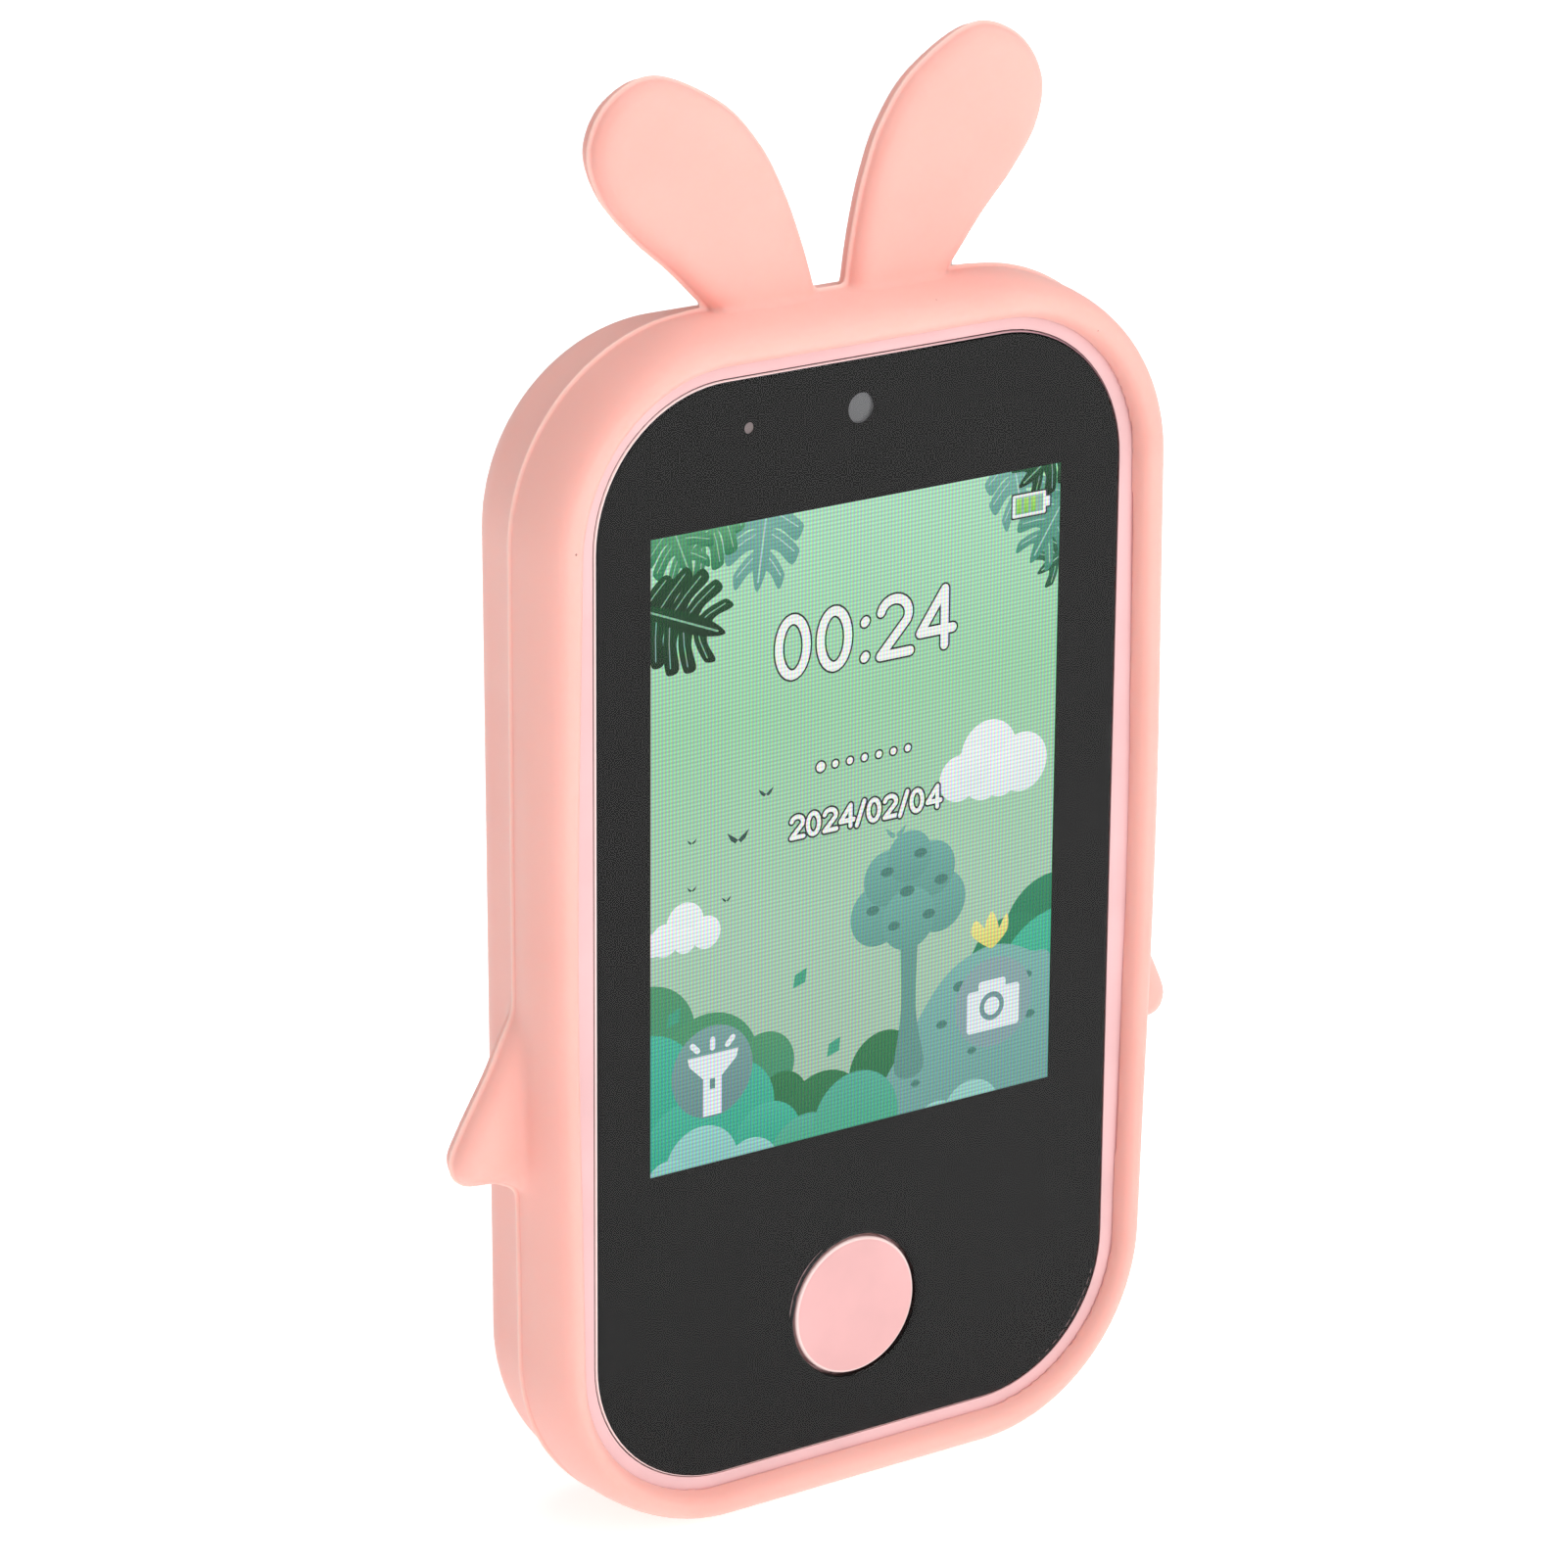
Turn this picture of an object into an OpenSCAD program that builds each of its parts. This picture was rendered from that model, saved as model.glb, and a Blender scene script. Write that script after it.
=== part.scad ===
// Toy cell phone: a rigid phone body with a screen, a home button, side buttons
// and a memory card, held in a soft one-piece sleeve with two ears and two arms.
// +Z is up, the screen faces -Y, and the origin is under the middle of the sleeve.

/* [Phone body] */
// Width of the rigid body
body_w = 59.5; // [57:0.5:80]
// Height of the rigid body
body_h = 104.2; // [102:0.5:130]
// Depth of the rigid body
body_d = 12.6; // [12.3:0.1:16]
// Corner radius of the rigid body, seen from the front
body_corner_r = 15.3; // [10:0.1:16]
// Rounding of the body's back edge
body_back_r = 2.4; // [1:0.1:4]
// Wall thickness of the body's two shells
wall_t = 1.4; // [1:0.1:1.8]
// Depth of the front shell, up to the seam
frame_d = 4.2; // [4:0.1:5]

/* [Sleeve] */
// Thickness of the sleeve's side wall
sleeve_t = 2.45; // [1.5:0.05:3.5]
// Thickness of the sleeve's back
sleeve_back_t = 1.6; // [1:0.1:3]
// How far the lip stands proud of the front shell
lip_rise = 1.8; // [0.8:0.1:3]
// How far the lip covers the front shell
lip_cover = 0.95; // [0.5:0.05:1.5]
// Rounding of the lip's outer edge
lip_r = 2.9; // [1:0.1:3.2]
// Rounding of the sleeve's back edge
sleeve_back_r = 4; // [2:0.1:5]
// Distance from the lip's crest to the parting line
parting_depth = 7; // [5:0.1:9]
// Height of the thin ridge along the parting line
ridge_rise = 0.2; // [0.1:0.05:0.4]
// Width of that ridge
ridge_w = 0.5; // [0.3:0.1:1]

/* [Ears] */
// Height of the ear's head centre above the sleeve's top
ear_head_up = 12.1; // [9:0.1:20]
// Distance of the ear's head centre from the middle
ear_head_out = 14.5; // [12:0.1:18]
// Radius of the ear's head
ear_head_r = 9; // [7:0.1:10]
// Height of the ear's middle above the sleeve's top
ear_mid_up = 5.9; // [4:0.1:8]
// Distance of the ear's middle from the middle of the sleeve
ear_mid_out = 10.8; // [10.5:0.1:12]
// Radius of the ear's middle
ear_mid_r = 8.1; // [6:0.1:8.2]
// Distance of the ear's root from the middle of the sleeve
ear_root_out = 8.2; // [8:0.1:10]
// Radius of the ear's root
ear_root_r = 6.4; // [5:0.1:6.6]
// Thickness of the ear
ear_t = 4.4; // [3:0.1:6]
// How far the ears lean back, in degrees
ear_lean = 5; // [0:1:8]

/* [Arms] */
// Height of the arm's tip above the sleeve's bottom
arm_tip_up = 37.9; // [30:0.1:45]
// Distance of the arm's tip centre from the sleeve's side
arm_tip_out = 5.8; // [4:0.1:8]
// Radius of the arm's tip
arm_tip_r = 1.8; // [1.2:0.1:2.5]
// Height of the arm's root along the side
arm_root_h = 16.2; // [12:0.1:18]
// Thickness of the arm
arm_t = 3.6; // [2.5:0.1:5]

/* [Screen] */
// Width of the lit picture
screen_w = 43.2; // [40:0.1:43.5]
// Height of the lit picture
screen_h = 57.6; // [50:0.1:58]
// Height of the picture's centre above the body's centre
screen_up = 8.3; // [7:0.1:8.6]
// Sideways shift of the picture
screen_shift = 0; // [-0.6:0.1:0.6]
// Margin of front shell left around the cover lens
lens_margin = 2.1; // [1.8:0.1:3]
// Thickness of the cover lens
lens_t = 1; // [0.8:0.1:1.2]
// How far the cover lens stands proud of the front shell
lens_proud = 0.2; // [0:0.05:0.3]
// Gap between the lens and its recess
lens_gap = 0.1; // [0.05:0.05:0.2]

/* [Home button] */
// Radius of the home button
button_r = 6.45; // [5:0.05:7]
// Distance of the home button below the body's centre
button_down = 37.4; // [36:0.1:39]
// Travel of the home button
button_travel = 0.45; // [0.2:0.05:0.45]
// Clearance round the button in its guide
guide_gap = 0.08; // [0.05:0.01:0.1]
// Gap between the button and the lens
button_lens_gap = 0.25; // [0.15:0.05:0.4]

/* [Side buttons] */
// Heights of the three side buttons above the body's centre: power, louder, softer
side_button_up = [31, 18.5, 7.5];
// Length of a side button
side_button_l = 8; // [6:0.5:8]
// Thickness of a side button
side_button_t = 2.4; // [1.8:0.1:2.6]
// How far a side button stands out of the body
side_button_out = 1.6; // [1:0.1:2.2]
// Travel of a side button
side_travel = 0.4; // [0.2:0.05:0.4]

/* [Cameras] */
// Radius of the front camera's window
front_window_r = 1.35; // [1:0.05:2]
// Height of the front camera above the body's centre
front_camera_up = 45.3; // [45.2:0.1:46]
// Radius of the status light's window
light_r = 0.5; // [0.4:0.05:0.8]
// Distance of the status light to the left of the middle
light_left = 11.6; // [8:0.1:12]
// Radius of the rear camera's window
rear_window_r = 3.2; // [2.5:0.1:3.6]
// Distance of the rear camera from the middle
rear_camera_out = 15; // [13:0.1:16]
// Height of the rear camera above the body's centre
rear_camera_up = 35; // [34:0.1:36]

/* [Power and card] */
// Width of the battery
battery_w = 37; // [30:0.5:38]
// Height of the battery
battery_h = 44; // [30:0.5:45]
// Thickness of the battery
battery_t = 4.3; // [3:0.1:4.3]
// Width of the memory card
card_w = 11; // [11:0.1:11]
// Length of the memory card
card_l = 15; // [15:0.1:15]
// Thickness of the memory card
card_t = 1; // [1:0.1:1]
// Distance of the memory card below the body's centre
card_down = 30; // [28:0.1:31]

/* [Hidden] */
$fn = 48;
over = 0.1; // what a cut runs past a face

sleeve_w = body_w + 2 * sleeve_t;
sleeve_h = body_h + 2 * sleeve_t;
sleeve_corner_r = body_corner_r + sleeve_t;
sleeve_d = lip_rise + body_d + sleeve_back_t;
mid_z = sleeve_h / 2;
crest_y = -sleeve_d / 2;
front_y = crest_y + lip_rise;
back_y = front_y + body_d;
seam_y = front_y + frame_d;
parting_y = crest_y + parting_depth;
inner_w = body_w - 2 * wall_t;
inner_h = body_h - 2 * wall_t;
inner_corner_r = body_corner_r - wall_t;

lens_w = body_w - 2 * lens_margin;
lens_h = body_h - 2 * lens_margin;
lens_corner_r = body_corner_r - lens_margin;
mask_t = 0.15;
adhesive_t = 0.15;
lens_y = front_y - lens_proud;
mask_y = lens_y + lens_t;
glass_y = mask_y + mask_t;
deck_y = glass_y + adhesive_t;
deck_t = 1;
deck_back_y = deck_y + deck_t;

board_t = 1;
board_y = front_y + 4.6;
board_back_y = board_y + board_t;
board_gap = 0.5;
board_w = inner_w - 2 * board_gap;
board_h = inner_h - 2 * board_gap;
board_corner_r = inner_corner_r - board_gap;

touch_t = 0.7;
lcd_t = 1.3;
backlight_t = 1.1;
lcd_y = glass_y + touch_t;
backlight_y = lcd_y + lcd_t;
lcd_pad_y = backlight_y + backlight_t;
lcd_side = 3;      // metal and glass beside the picture
lcd_top = 4.6;     // glass above the picture
lcd_bottom = 6.2;  // glass below the picture, where the driver chip sits
lcd_w = screen_w + 2 * lcd_side;
lcd_h = screen_h + lcd_top + lcd_bottom;
lcd_up = screen_up + (lcd_top - lcd_bottom) / 2;
lcd_gap = 0.2;
tail_w = 14;
tail_t = 0.15;

flange_t = 0.8;
flange_rim = 1.1;
seat_gap = 0.05;   // what a spring-loaded flange clears its stop by
plunger_r = 1.2;
home_switch_w = 6.2;
home_switch_t = 0.9;
home_flange_y = deck_back_y + seat_gap;
home_switch_y = board_y - home_switch_t;
home_plunger_end_y = board_y - 0.1 - button_travel;

side_switch_l = 4.4;
side_switch_w = 4;
side_x = body_w / 2 - wall_t;
side_flange_t = 0.7;
side_flange_rim = 0.7;
side_gap = 0.1;
side_y = board_back_y + side_button_t / 2 + side_flange_rim + 0.2;
side_flange_x = side_x - seat_gap - side_flange_t;
side_switch_x = side_flange_x - 0.15 - side_travel;
side_plunger_r = 0.7;
side_switch_d = side_y - board_back_y + side_plunger_r + 0.8; // depth along Y
side_slot_margin = 0.9;

camera_w = 5.6;
rear_camera_w = 8.5;
window_t = 0.8;
back_in_y = back_y - wall_t;
flash_out = 7;
flash_r = 1.6;

screw_x = 18;
screw_in = 6.2;           // screws in from the body's top and bottom edge
screw_z = body_h / 2 - screw_in;
boss_r = 2.4;
screw_r = 0.8;
screw_head_r = 1.6;
screw_head_t = 1.1;
screw_hole_r = 0.85;
board_hole_r = 1.1;
head_deep = 1.6;          // how deep a screw head sits in the cover

battery_x = -5;
battery_up = 2;
tape_t = 0.3;
battery_y = board_back_y + tape_t;
battery_back_y = battery_y + battery_t;

speaker_w = 15;
speaker_h = 11;
speaker_x = -11;
speaker_up = -33;
gasket_t = 0.6;
sound_hole_r = 0.7;
sound_pitch = 2.6;

usb_w = 9;
usb_h = 3.2;
usb_l = 7.4;
usb_wall = 0.3;
usb_y = board_back_y + usb_h / 2;
usb_bottom = -body_h / 2 + 0.6;
usb_slot_margin = 1.6;

card_wall = 0.25;
card_gap = 0.08;
card_show = 1.5;          // what shows of the card beyond the body's side
card_x = body_w / 2 + card_show - card_l;
card_y = board_back_y + card_wall + card_gap + card_t / 2;
card_slot_margin = 1.1;

// A 2D rectangle with round corners, centred
module round_rect(w, h, r) {
    square([w - 2 * r, h], center = true);
    square([w, h - 2 * r], center = true);
    for (x = [-1, 1], z = [-1, 1])
        translate([x * (w / 2 - r), z * (h / 2 - r)]) circle(r);
}

// Extrudes a 2D front-view shape from depth y0 to depth y1
module plate(y0, y1) {
    translate([0, y1, mid_z]) rotate([90, 0, 0]) linear_extrude(y1 - y0) children();
}

// A box given by its middle, its size in the front view, and its depths
module block(x, up, w, h, y0, y1) {
    translate([x - w / 2, y0, mid_z + up - h / 2]) cube([w, y1 - y0, h]);
}

// A round rod along Y
module rod(x, up, r, y0, y1) {
    translate([x, y1, mid_z + up]) rotate([90, 0, 0]) cylinder(h = y1 - y0, r = r);
}

// A flat pill shape in the front view
module pill(w, h) {
    r = min(w, h) / 2;
    round_rect(w, h, r - 0.001);
}

// Takes the square corner off a profile and leaves a quarter round
module edge_cutter(r, sign) {
    difference() {
        translate([0, sign > 0 ? 0 : -over]) square([r + over, r + over]);
        translate([0, sign > 0 ? 0 : r]) circle(r);
    }
}

// Half of a slab's cross-section, with its back and front edges rounded
module slab_profile(r, t, back_r, front_r) {
    difference() {
        square([r, t]);
        if (back_r > 0) translate([r - back_r, 0]) edge_cutter(back_r, -1);
        if (front_r > 0) translate([r - front_r, t - front_r]) edge_cutter(front_r, 1);
    }
}

// A slab with round corners and rounded back and front edges
module slab(w, h, r, y0, y1, back_r, front_r) {
    t = y1 - y0;
    translate([0, y1, mid_z]) rotate([90, 0, 0]) {
        for (corner = [[1, 1, 0], [-1, 1, 90], [-1, -1, 180], [1, -1, 270]])
            translate([corner[0] * (w / 2 - r), corner[1] * (h / 2 - r), 0])
                rotate(corner[2]) rotate_extrude(angle = 90) slab_profile(r, t, back_r, front_r);
        for (side = [0, 180]) {
            rotate(side) translate([w / 2 - r, 0, 0]) rotate([90, 0, 0])
                linear_extrude(h - 2 * r, center = true) slab_profile(r, t, back_r, front_r);
            rotate(side + 90) translate([h / 2 - r, 0, 0]) rotate([90, 0, 0])
                linear_extrude(w - 2 * r, center = true) slab_profile(r, t, back_r, front_r);
        }
        translate([r - w / 2, r - h / 2, 0]) cube([w - 2 * r, h - 2 * r, t]);
    }
}

// A disc with a fully rounded rim, the building block of the ears and arms
module soft_disc(r, t) {
    rotate([90, 0, 0]) rotate_extrude($fn = 32) intersection() {
        union() {
            translate([-t, -t / 2]) square([r + t / 2, t]);
            translate([r - t / 2, 0]) circle(t / 2, $fn = 16);
        }
        translate([0, -t]) square([r + t, 2 * t]);
    }
}

// One ear, a flat paddle that widens towards its head
module ear(side, t, grow) {
    translate([0, parting_y, sleeve_h]) rotate([-ear_lean, 0, 0]) hull() {
        translate([side * ear_head_out, 0, ear_head_up]) soft_disc(ear_head_r + grow, t);
        translate([side * ear_mid_out, 0, ear_mid_up]) soft_disc(ear_mid_r + grow, t);
        translate([side * ear_root_out, 0, -1]) soft_disc(ear_root_r + grow, t);
    }
}

// One arm, a small fin that slopes down to a round tip
module arm(side, t, grow) {
    root_x = sleeve_w / 2 - 1.5;
    low = arm_tip_up - arm_tip_r;
    translate([0, parting_y, 0]) hull() {
        translate([side * (sleeve_w / 2 + arm_tip_out), 0, arm_tip_up])
            soft_disc(arm_tip_r + grow, t);
        translate([side * root_x, 0, low - 0.2 + arm_tip_r]) soft_disc(arm_tip_r + grow, t);
        translate([side * root_x, 0, low + arm_root_h]) soft_disc(arm_tip_r + grow, t);
    }
}

// The opening that the lip leaves in front of the body
module lip_opening() {
    plate(crest_y - over, front_y + over)
        round_rect(body_w - 2 * lip_cover, body_h - 2 * lip_cover, body_corner_r - lip_cover);
}

// Cuts through the side wall for something of length l and thickness t
module side_cut(up, l, t, y) {
    translate([body_w / 2 - wall_t - over, y, mid_z + up]) rotate([90, 0, 90])
        linear_extrude(wall_t + sleeve_t + arm_tip_out + 2 * over) pill(t, l);
}

// The soft sleeve: walls, lip, ears, arms and the raised pad behind the ears
module silicone_sleeve() {
    pad_w = 2 * (ear_root_out + ear_root_r + 3.4);
    pad_rise = 0.8;
    color("lightsalmon") difference() {
        union() {
            slab(sleeve_w, sleeve_h, sleeve_corner_r, crest_y, -crest_y, sleeve_back_r, lip_r);
            difference() {
                plate(parting_y - ridge_w / 2, parting_y + ridge_w / 2)
                    round_rect(sleeve_w + 2 * ridge_rise, sleeve_h + 2 * ridge_rise,
                        sleeve_corner_r + ridge_rise);
                translate([-sleeve_w, crest_y, -2 * ridge_rise])
                    cube([2 * sleeve_w, sleeve_d, 2 * ridge_rise + sleeve_corner_r / 4]);
            }
            translate([0, parting_y, sleeve_h - sleeve_t / 2])
                linear_extrude(sleeve_t / 2 + pad_rise)
                    translate([0, 3]) pill(pad_w, 6);
            for (side = [-1, 1]) {
                ear(side, ear_t, 0);
                arm(side, arm_t, 0);
            }
        }
        slab(body_w, body_h, body_corner_r, front_y, back_y, body_back_r, 0);
        lip_opening();
        for (up = side_button_up)
            side_cut(up, side_button_l + 2 * side_slot_margin,
                side_button_t + 2 * side_slot_margin, side_y);
        side_cut(-card_down, card_w + 2 * card_slot_margin, card_t + 2 * card_slot_margin, card_y);
        translate([0, usb_y, -over]) linear_extrude(sleeve_t + 2 * over)
            pill(usb_w + 2 * usb_slot_margin, usb_h + 2 * usb_slot_margin);
        plate(back_y - over, -crest_y + over) {
            translate([(-rear_camera_out - flash_out) / 2, rear_camera_up])
                pill(rear_camera_out - flash_out + 2 * rear_window_r + 5, 2 * rear_window_r + 3);
            translate([speaker_x, speaker_up]) pill(speaker_w - 1, 2 * sound_pitch + 1.6);
        }
    }
}

// The bosses' places: four screws near the corners
module at_screws() {
    for (x = [-screw_x, screw_x], z = [-screw_z, screw_z]) translate([x, 0, z]) children();
}

// The front half of the rigid body, with the recess for the lens
module front_frame() {
    color("pink") difference() {
        union() {
            difference() {
                slab(body_w, body_h, body_corner_r, front_y, seam_y, 0, 0);
                plate(deck_back_y, seam_y + over) round_rect(inner_w, inner_h, inner_corner_r);
            }
            at_screws() rod(0, 0, boss_r, deck_back_y - over, board_y);
        }
        plate(front_y - over, deck_y)
            round_rect(lens_w + 2 * lens_gap, lens_h + 2 * lens_gap, lens_corner_r + lens_gap);
        block(screen_shift, lcd_up, lcd_w + 2 * lcd_gap, lcd_h + 2 * lcd_gap,
            deck_y - over, deck_back_y + over);
        rod(0, -button_down, button_r + guide_gap, deck_y - over, deck_back_y + over);
        block(screen_shift, front_camera_up, camera_w + 2 * lcd_gap, camera_w + 2 * lcd_gap,
            deck_y - over, deck_back_y + over);
        rod(-light_left, front_camera_up, light_r + guide_gap, deck_y - over, deck_back_y + over);
        at_screws() rod(0, 0, screw_r, deck_back_y, board_y + over);
    }
}

// A hole in the cover's side wall for a side button
module side_button_hole(up) {
    translate([side_x - over, side_y, mid_z + up]) rotate([90, 0, 90])
        linear_extrude(wall_t + 2 * over)
            pill(side_button_t + 2 * side_gap, side_button_l + 2 * side_gap);
}

// The back half of the rigid body, with its screw tubes and openings
module rear_cover() {
    color("pink") difference() {
        union() {
            difference() {
                slab(body_w, body_h, body_corner_r, seam_y, back_y, body_back_r, 0);
                slab(inner_w, inner_h, inner_corner_r, seam_y - over, back_in_y,
                    body_back_r - wall_t / 2, 0);
            }
            at_screws() rod(0, 0, boss_r, board_back_y, back_in_y + over);
        }
        at_screws() rod(0, 0, screw_hole_r, board_back_y - over, back_y + over);
        at_screws() rod(0, 0, screw_head_r + guide_gap, back_y - head_deep, back_y + over);
        rod(-rear_camera_out, rear_camera_up, rear_window_r + guide_gap, back_in_y - over,
            back_y + over);
        rod(-flash_out, rear_camera_up, flash_r + guide_gap, back_in_y - over, back_y + over);
        for (i = [-2:2], j = [-1:1])
            if (abs(i) + abs(j) < 3)
                rod(speaker_x + i * sound_pitch, speaker_up + j * sound_pitch, sound_hole_r,
                    back_in_y - over, back_y + over);
        for (up = side_button_up) side_button_hole(up);
        translate([body_w / 2 - wall_t - over, card_y - card_t / 2 - card_gap - card_wall,
            mid_z - card_down - card_w / 2 - card_gap - card_wall])
            cube([wall_t + 2 * over, card_t + 2 * card_gap + 2 * card_wall,
                card_w + 2 * card_gap + 2 * card_wall]);
        block(0, -body_h / 2 + wall_t / 2, usb_w + 2 * lens_gap, wall_t + 2 * over,
            usb_y - usb_h / 2 - lens_gap, usb_y + usb_h / 2 + lens_gap);
        translate([usb_w / 2 + 5, usb_y, mid_z - body_h / 2 - over])
            cylinder(h = wall_t + 2 * over, r = 0.5);
    }
}

// The clear front pane
module cover_lens() {
    color([0.2, 0.2, 0.2, 0.6]) difference() {
        plate(lens_y, mask_y) round_rect(lens_w, lens_h, lens_corner_r);
        rod(0, -button_down, button_r + button_lens_gap, lens_y - over, mask_y + over);
    }
}

// The black print behind the lens, open at the picture and the two windows
module lens_mask() {
    color([0.16, 0.15, 0.15]) difference() {
        plate(mask_y, glass_y) round_rect(lens_w, lens_h, lens_corner_r);
        block(screen_shift, screen_up, screen_w, screen_h, mask_y - over, glass_y + over);
        rod(0, -button_down, button_r + button_lens_gap, mask_y - over, glass_y + over);
        rod(screen_shift, front_camera_up, front_window_r, mask_y - over, glass_y + over);
        rod(-light_left, front_camera_up, light_r, mask_y - over, glass_y + over);
    }
}

// The ring of tape that holds the lens down
module lens_adhesive() {
    tape_w = 1.2;
    color("white") difference() {
        plate(glass_y, deck_y) round_rect(lens_w, lens_h, lens_corner_r);
        plate(glass_y - over, deck_y + over)
            round_rect(lens_w - 2 * tape_w, lens_h - 2 * tape_w, lens_corner_r - tape_w);
    }
}

// The touch glass over the picture
module touch_sensor() {
    color("gainsboro") block(screen_shift, lcd_up, lcd_w, lcd_h, glass_y, lcd_y);
}

// The touch glass's flexible tail, bent down to the board beside the display
module touch_tail() {
    x = lcd_w / 2 + screen_shift;
    color("orange") union() {
        block(x + tail_t / 2, lcd_up, tail_t, tail_w, glass_y, board_y);
        block(x - 0.5, lcd_up, 1, tail_w, board_y - tail_t, board_y);
    }
}

// The liquid crystal cell
module lcd_panel() {
    color("mediumaquamarine") block(screen_shift, lcd_up, lcd_w, lcd_h, lcd_y, backlight_y);
}

// The backlight tray behind the cell
module lcd_backlight() {
    color("silver") block(screen_shift, lcd_up, lcd_w, lcd_h, backlight_y, lcd_pad_y);
}

// The foam that holds the display off the board
module lcd_pad() {
    foam_in = 3;
    color("dimgray") block(screen_shift, lcd_up, lcd_w - 2 * foam_in, lcd_h - 2 * foam_in,
        lcd_pad_y, board_y);
}

// The display's ribbon, from the cell's lower edge round to the board
module lcd_ribbon() {
    low = lcd_up - lcd_h / 2;
    color("orange") union() {
        block(screen_shift, low - tail_t / 2, tail_w, tail_t, lcd_y, board_y);
        block(screen_shift, low + 0.5, tail_w, 1, board_y - tail_t, board_y);
    }
}

// The round home button with the flange that keeps it in
module home_button() {
    bevel = 0.25;
    color("lightpink") union() {
        difference() {
            rod(0, -button_down, button_r, lens_y, home_flange_y + flange_t);
            translate([0, lens_y, mid_z - button_down]) rotate([-90, 0, 0])
                rotate_extrude() polygon([[button_r - bevel, -over], [button_r - bevel, 0],
                    [button_r, bevel], [button_r + over, bevel], [button_r + over, -over]]);
        }
        rod(0, -button_down, button_r + flange_rim, home_flange_y, home_flange_y + flange_t);
    }
}

// The plunger that the home button pushes into its switch
module home_plunger() {
    color("black") rod(0, -button_down, plunger_r, home_flange_y + flange_t, home_plunger_end_y);
}

// The home button's switch on the board
module home_switch() {
    color("silver") difference() {
        block(0, -button_down, home_switch_w, home_switch_w, home_switch_y, board_y);
        rod(0, -button_down, plunger_r + guide_gap, home_switch_y - over, board_y - seat_gap);
    }
}

// A side button's cap and flange
module side_button(up) {
    color("lightpink") translate([side_flange_x, side_y, mid_z + up]) rotate([90, 0, 90]) {
        linear_extrude(side_flange_t)
            pill(side_button_t + 2 * side_flange_rim, side_button_l + 2 * side_flange_rim);
        linear_extrude(side_flange_t + seat_gap + wall_t + side_button_out)
            pill(side_button_t, side_button_l);
    }
}

// A side switch's plunger
module side_plunger(up) {
    end_x = side_switch_x - 1;
    color("black") translate([end_x, side_y, mid_z + up]) rotate([0, 90, 0])
        cylinder(h = side_flange_x - end_x, r = side_plunger_r);
}

// A side switch on the back of the board
module side_switch(up) {
    color("silver") difference() {
        translate([side_switch_x - side_switch_w, board_back_y, mid_z + up - side_switch_l / 2])
            cube([side_switch_w, side_switch_d, side_switch_l]);
        translate([side_switch_x - 1 - side_travel - seat_gap, side_y, mid_z + up])
            rotate([0, 90, 0])
                cylinder(h = 1 + side_travel + seat_gap + over, r = side_plunger_r + guide_gap);
    }
}

module power_button() { side_button(side_button_up[0]); }
module power_plunger() { side_plunger(side_button_up[0]); }
module power_switch() { side_switch(side_button_up[0]); }
module volume_up_button() { side_button(side_button_up[1]); }
module volume_up_plunger() { side_plunger(side_button_up[1]); }
module volume_up_switch() { side_switch(side_button_up[1]); }
module volume_down_button() { side_button(side_button_up[2]); }
module volume_down_plunger() { side_plunger(side_button_up[2]); }
module volume_down_switch() { side_switch(side_button_up[2]); }

// The front camera's module, with a recess that holds its lens
module front_camera() {
    color([0.15, 0.15, 0.16]) difference() {
        block(screen_shift, front_camera_up, camera_w, camera_w, glass_y, board_y);
        rod(screen_shift, front_camera_up, front_window_r + 0.3, glass_y - over, glass_y + 0.8);
    }
}

// The front camera's glass lens
module front_camera_lens() {
    color("slategray")
        rod(screen_shift, front_camera_up, front_window_r + 0.3, glass_y + 0.2, glass_y + 0.8);
}

// The clear pin that carries the status light to the front
module light_pipe() {
    color("lightgray") rod(-light_left, front_camera_up, light_r, glass_y, board_y - 0.8);
}

// The status light's chip on the board
module status_led() {
    color("white") block(-light_left, front_camera_up, 1.6, 1.6, board_y - 0.8, board_y);
}

// The circuit board
module main_board() {
    color("seagreen") difference() {
        plate(board_y, board_back_y) round_rect(board_w, board_h, board_corner_r);
        at_screws() rod(0, 0, board_hole_r, board_y - over, board_back_y + over);
    }
}

// The main processor
module processor() {
    color([0.1, 0.1, 0.1]) block(2.5, rear_camera_up + 0.5, 10, 10, board_back_y, board_back_y + 1.1);
}

// The memory chip
module memory_chip() {
    color([0.1, 0.1, 0.1])
        block(14.5, rear_camera_up - 0.5, 7, 8, board_back_y, board_back_y + 1);
}

// The tin can over the processor
module shield_can() {
    can_w = 12.4;
    can_h = 13;
    can_t = 1.7;
    tin = 0.2;
    color("silver") difference() {
        block(2.5, rear_camera_up + 0.5, can_w, can_h, board_back_y, board_back_y + can_t);
        block(2.5, rear_camera_up + 0.5, can_w - 2 * tin, can_h - 2 * tin, board_back_y - over,
            board_back_y + can_t - tin);
    }
}

// The flat battery
module battery() {
    color("silver") block(battery_x, battery_up, battery_w, battery_h, battery_y, battery_back_y);
}

// The tape under the battery
module battery_tape() {
    color("white") block(battery_x, battery_up, battery_w - 6, battery_h - 6, board_back_y, battery_y);
}

// The foam between the battery and the cover
module battery_pad() {
    color("dimgray")
        block(battery_x, battery_up, battery_w - 8, battery_h - 12, battery_back_y, back_in_y);
}

// The socket that the battery's lead plugs into
module battery_socket() {
    color("white") block(side_x - 10.5, battery_up - 12, 4.5, 5, board_back_y, board_back_y + 2.6);
}

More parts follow.
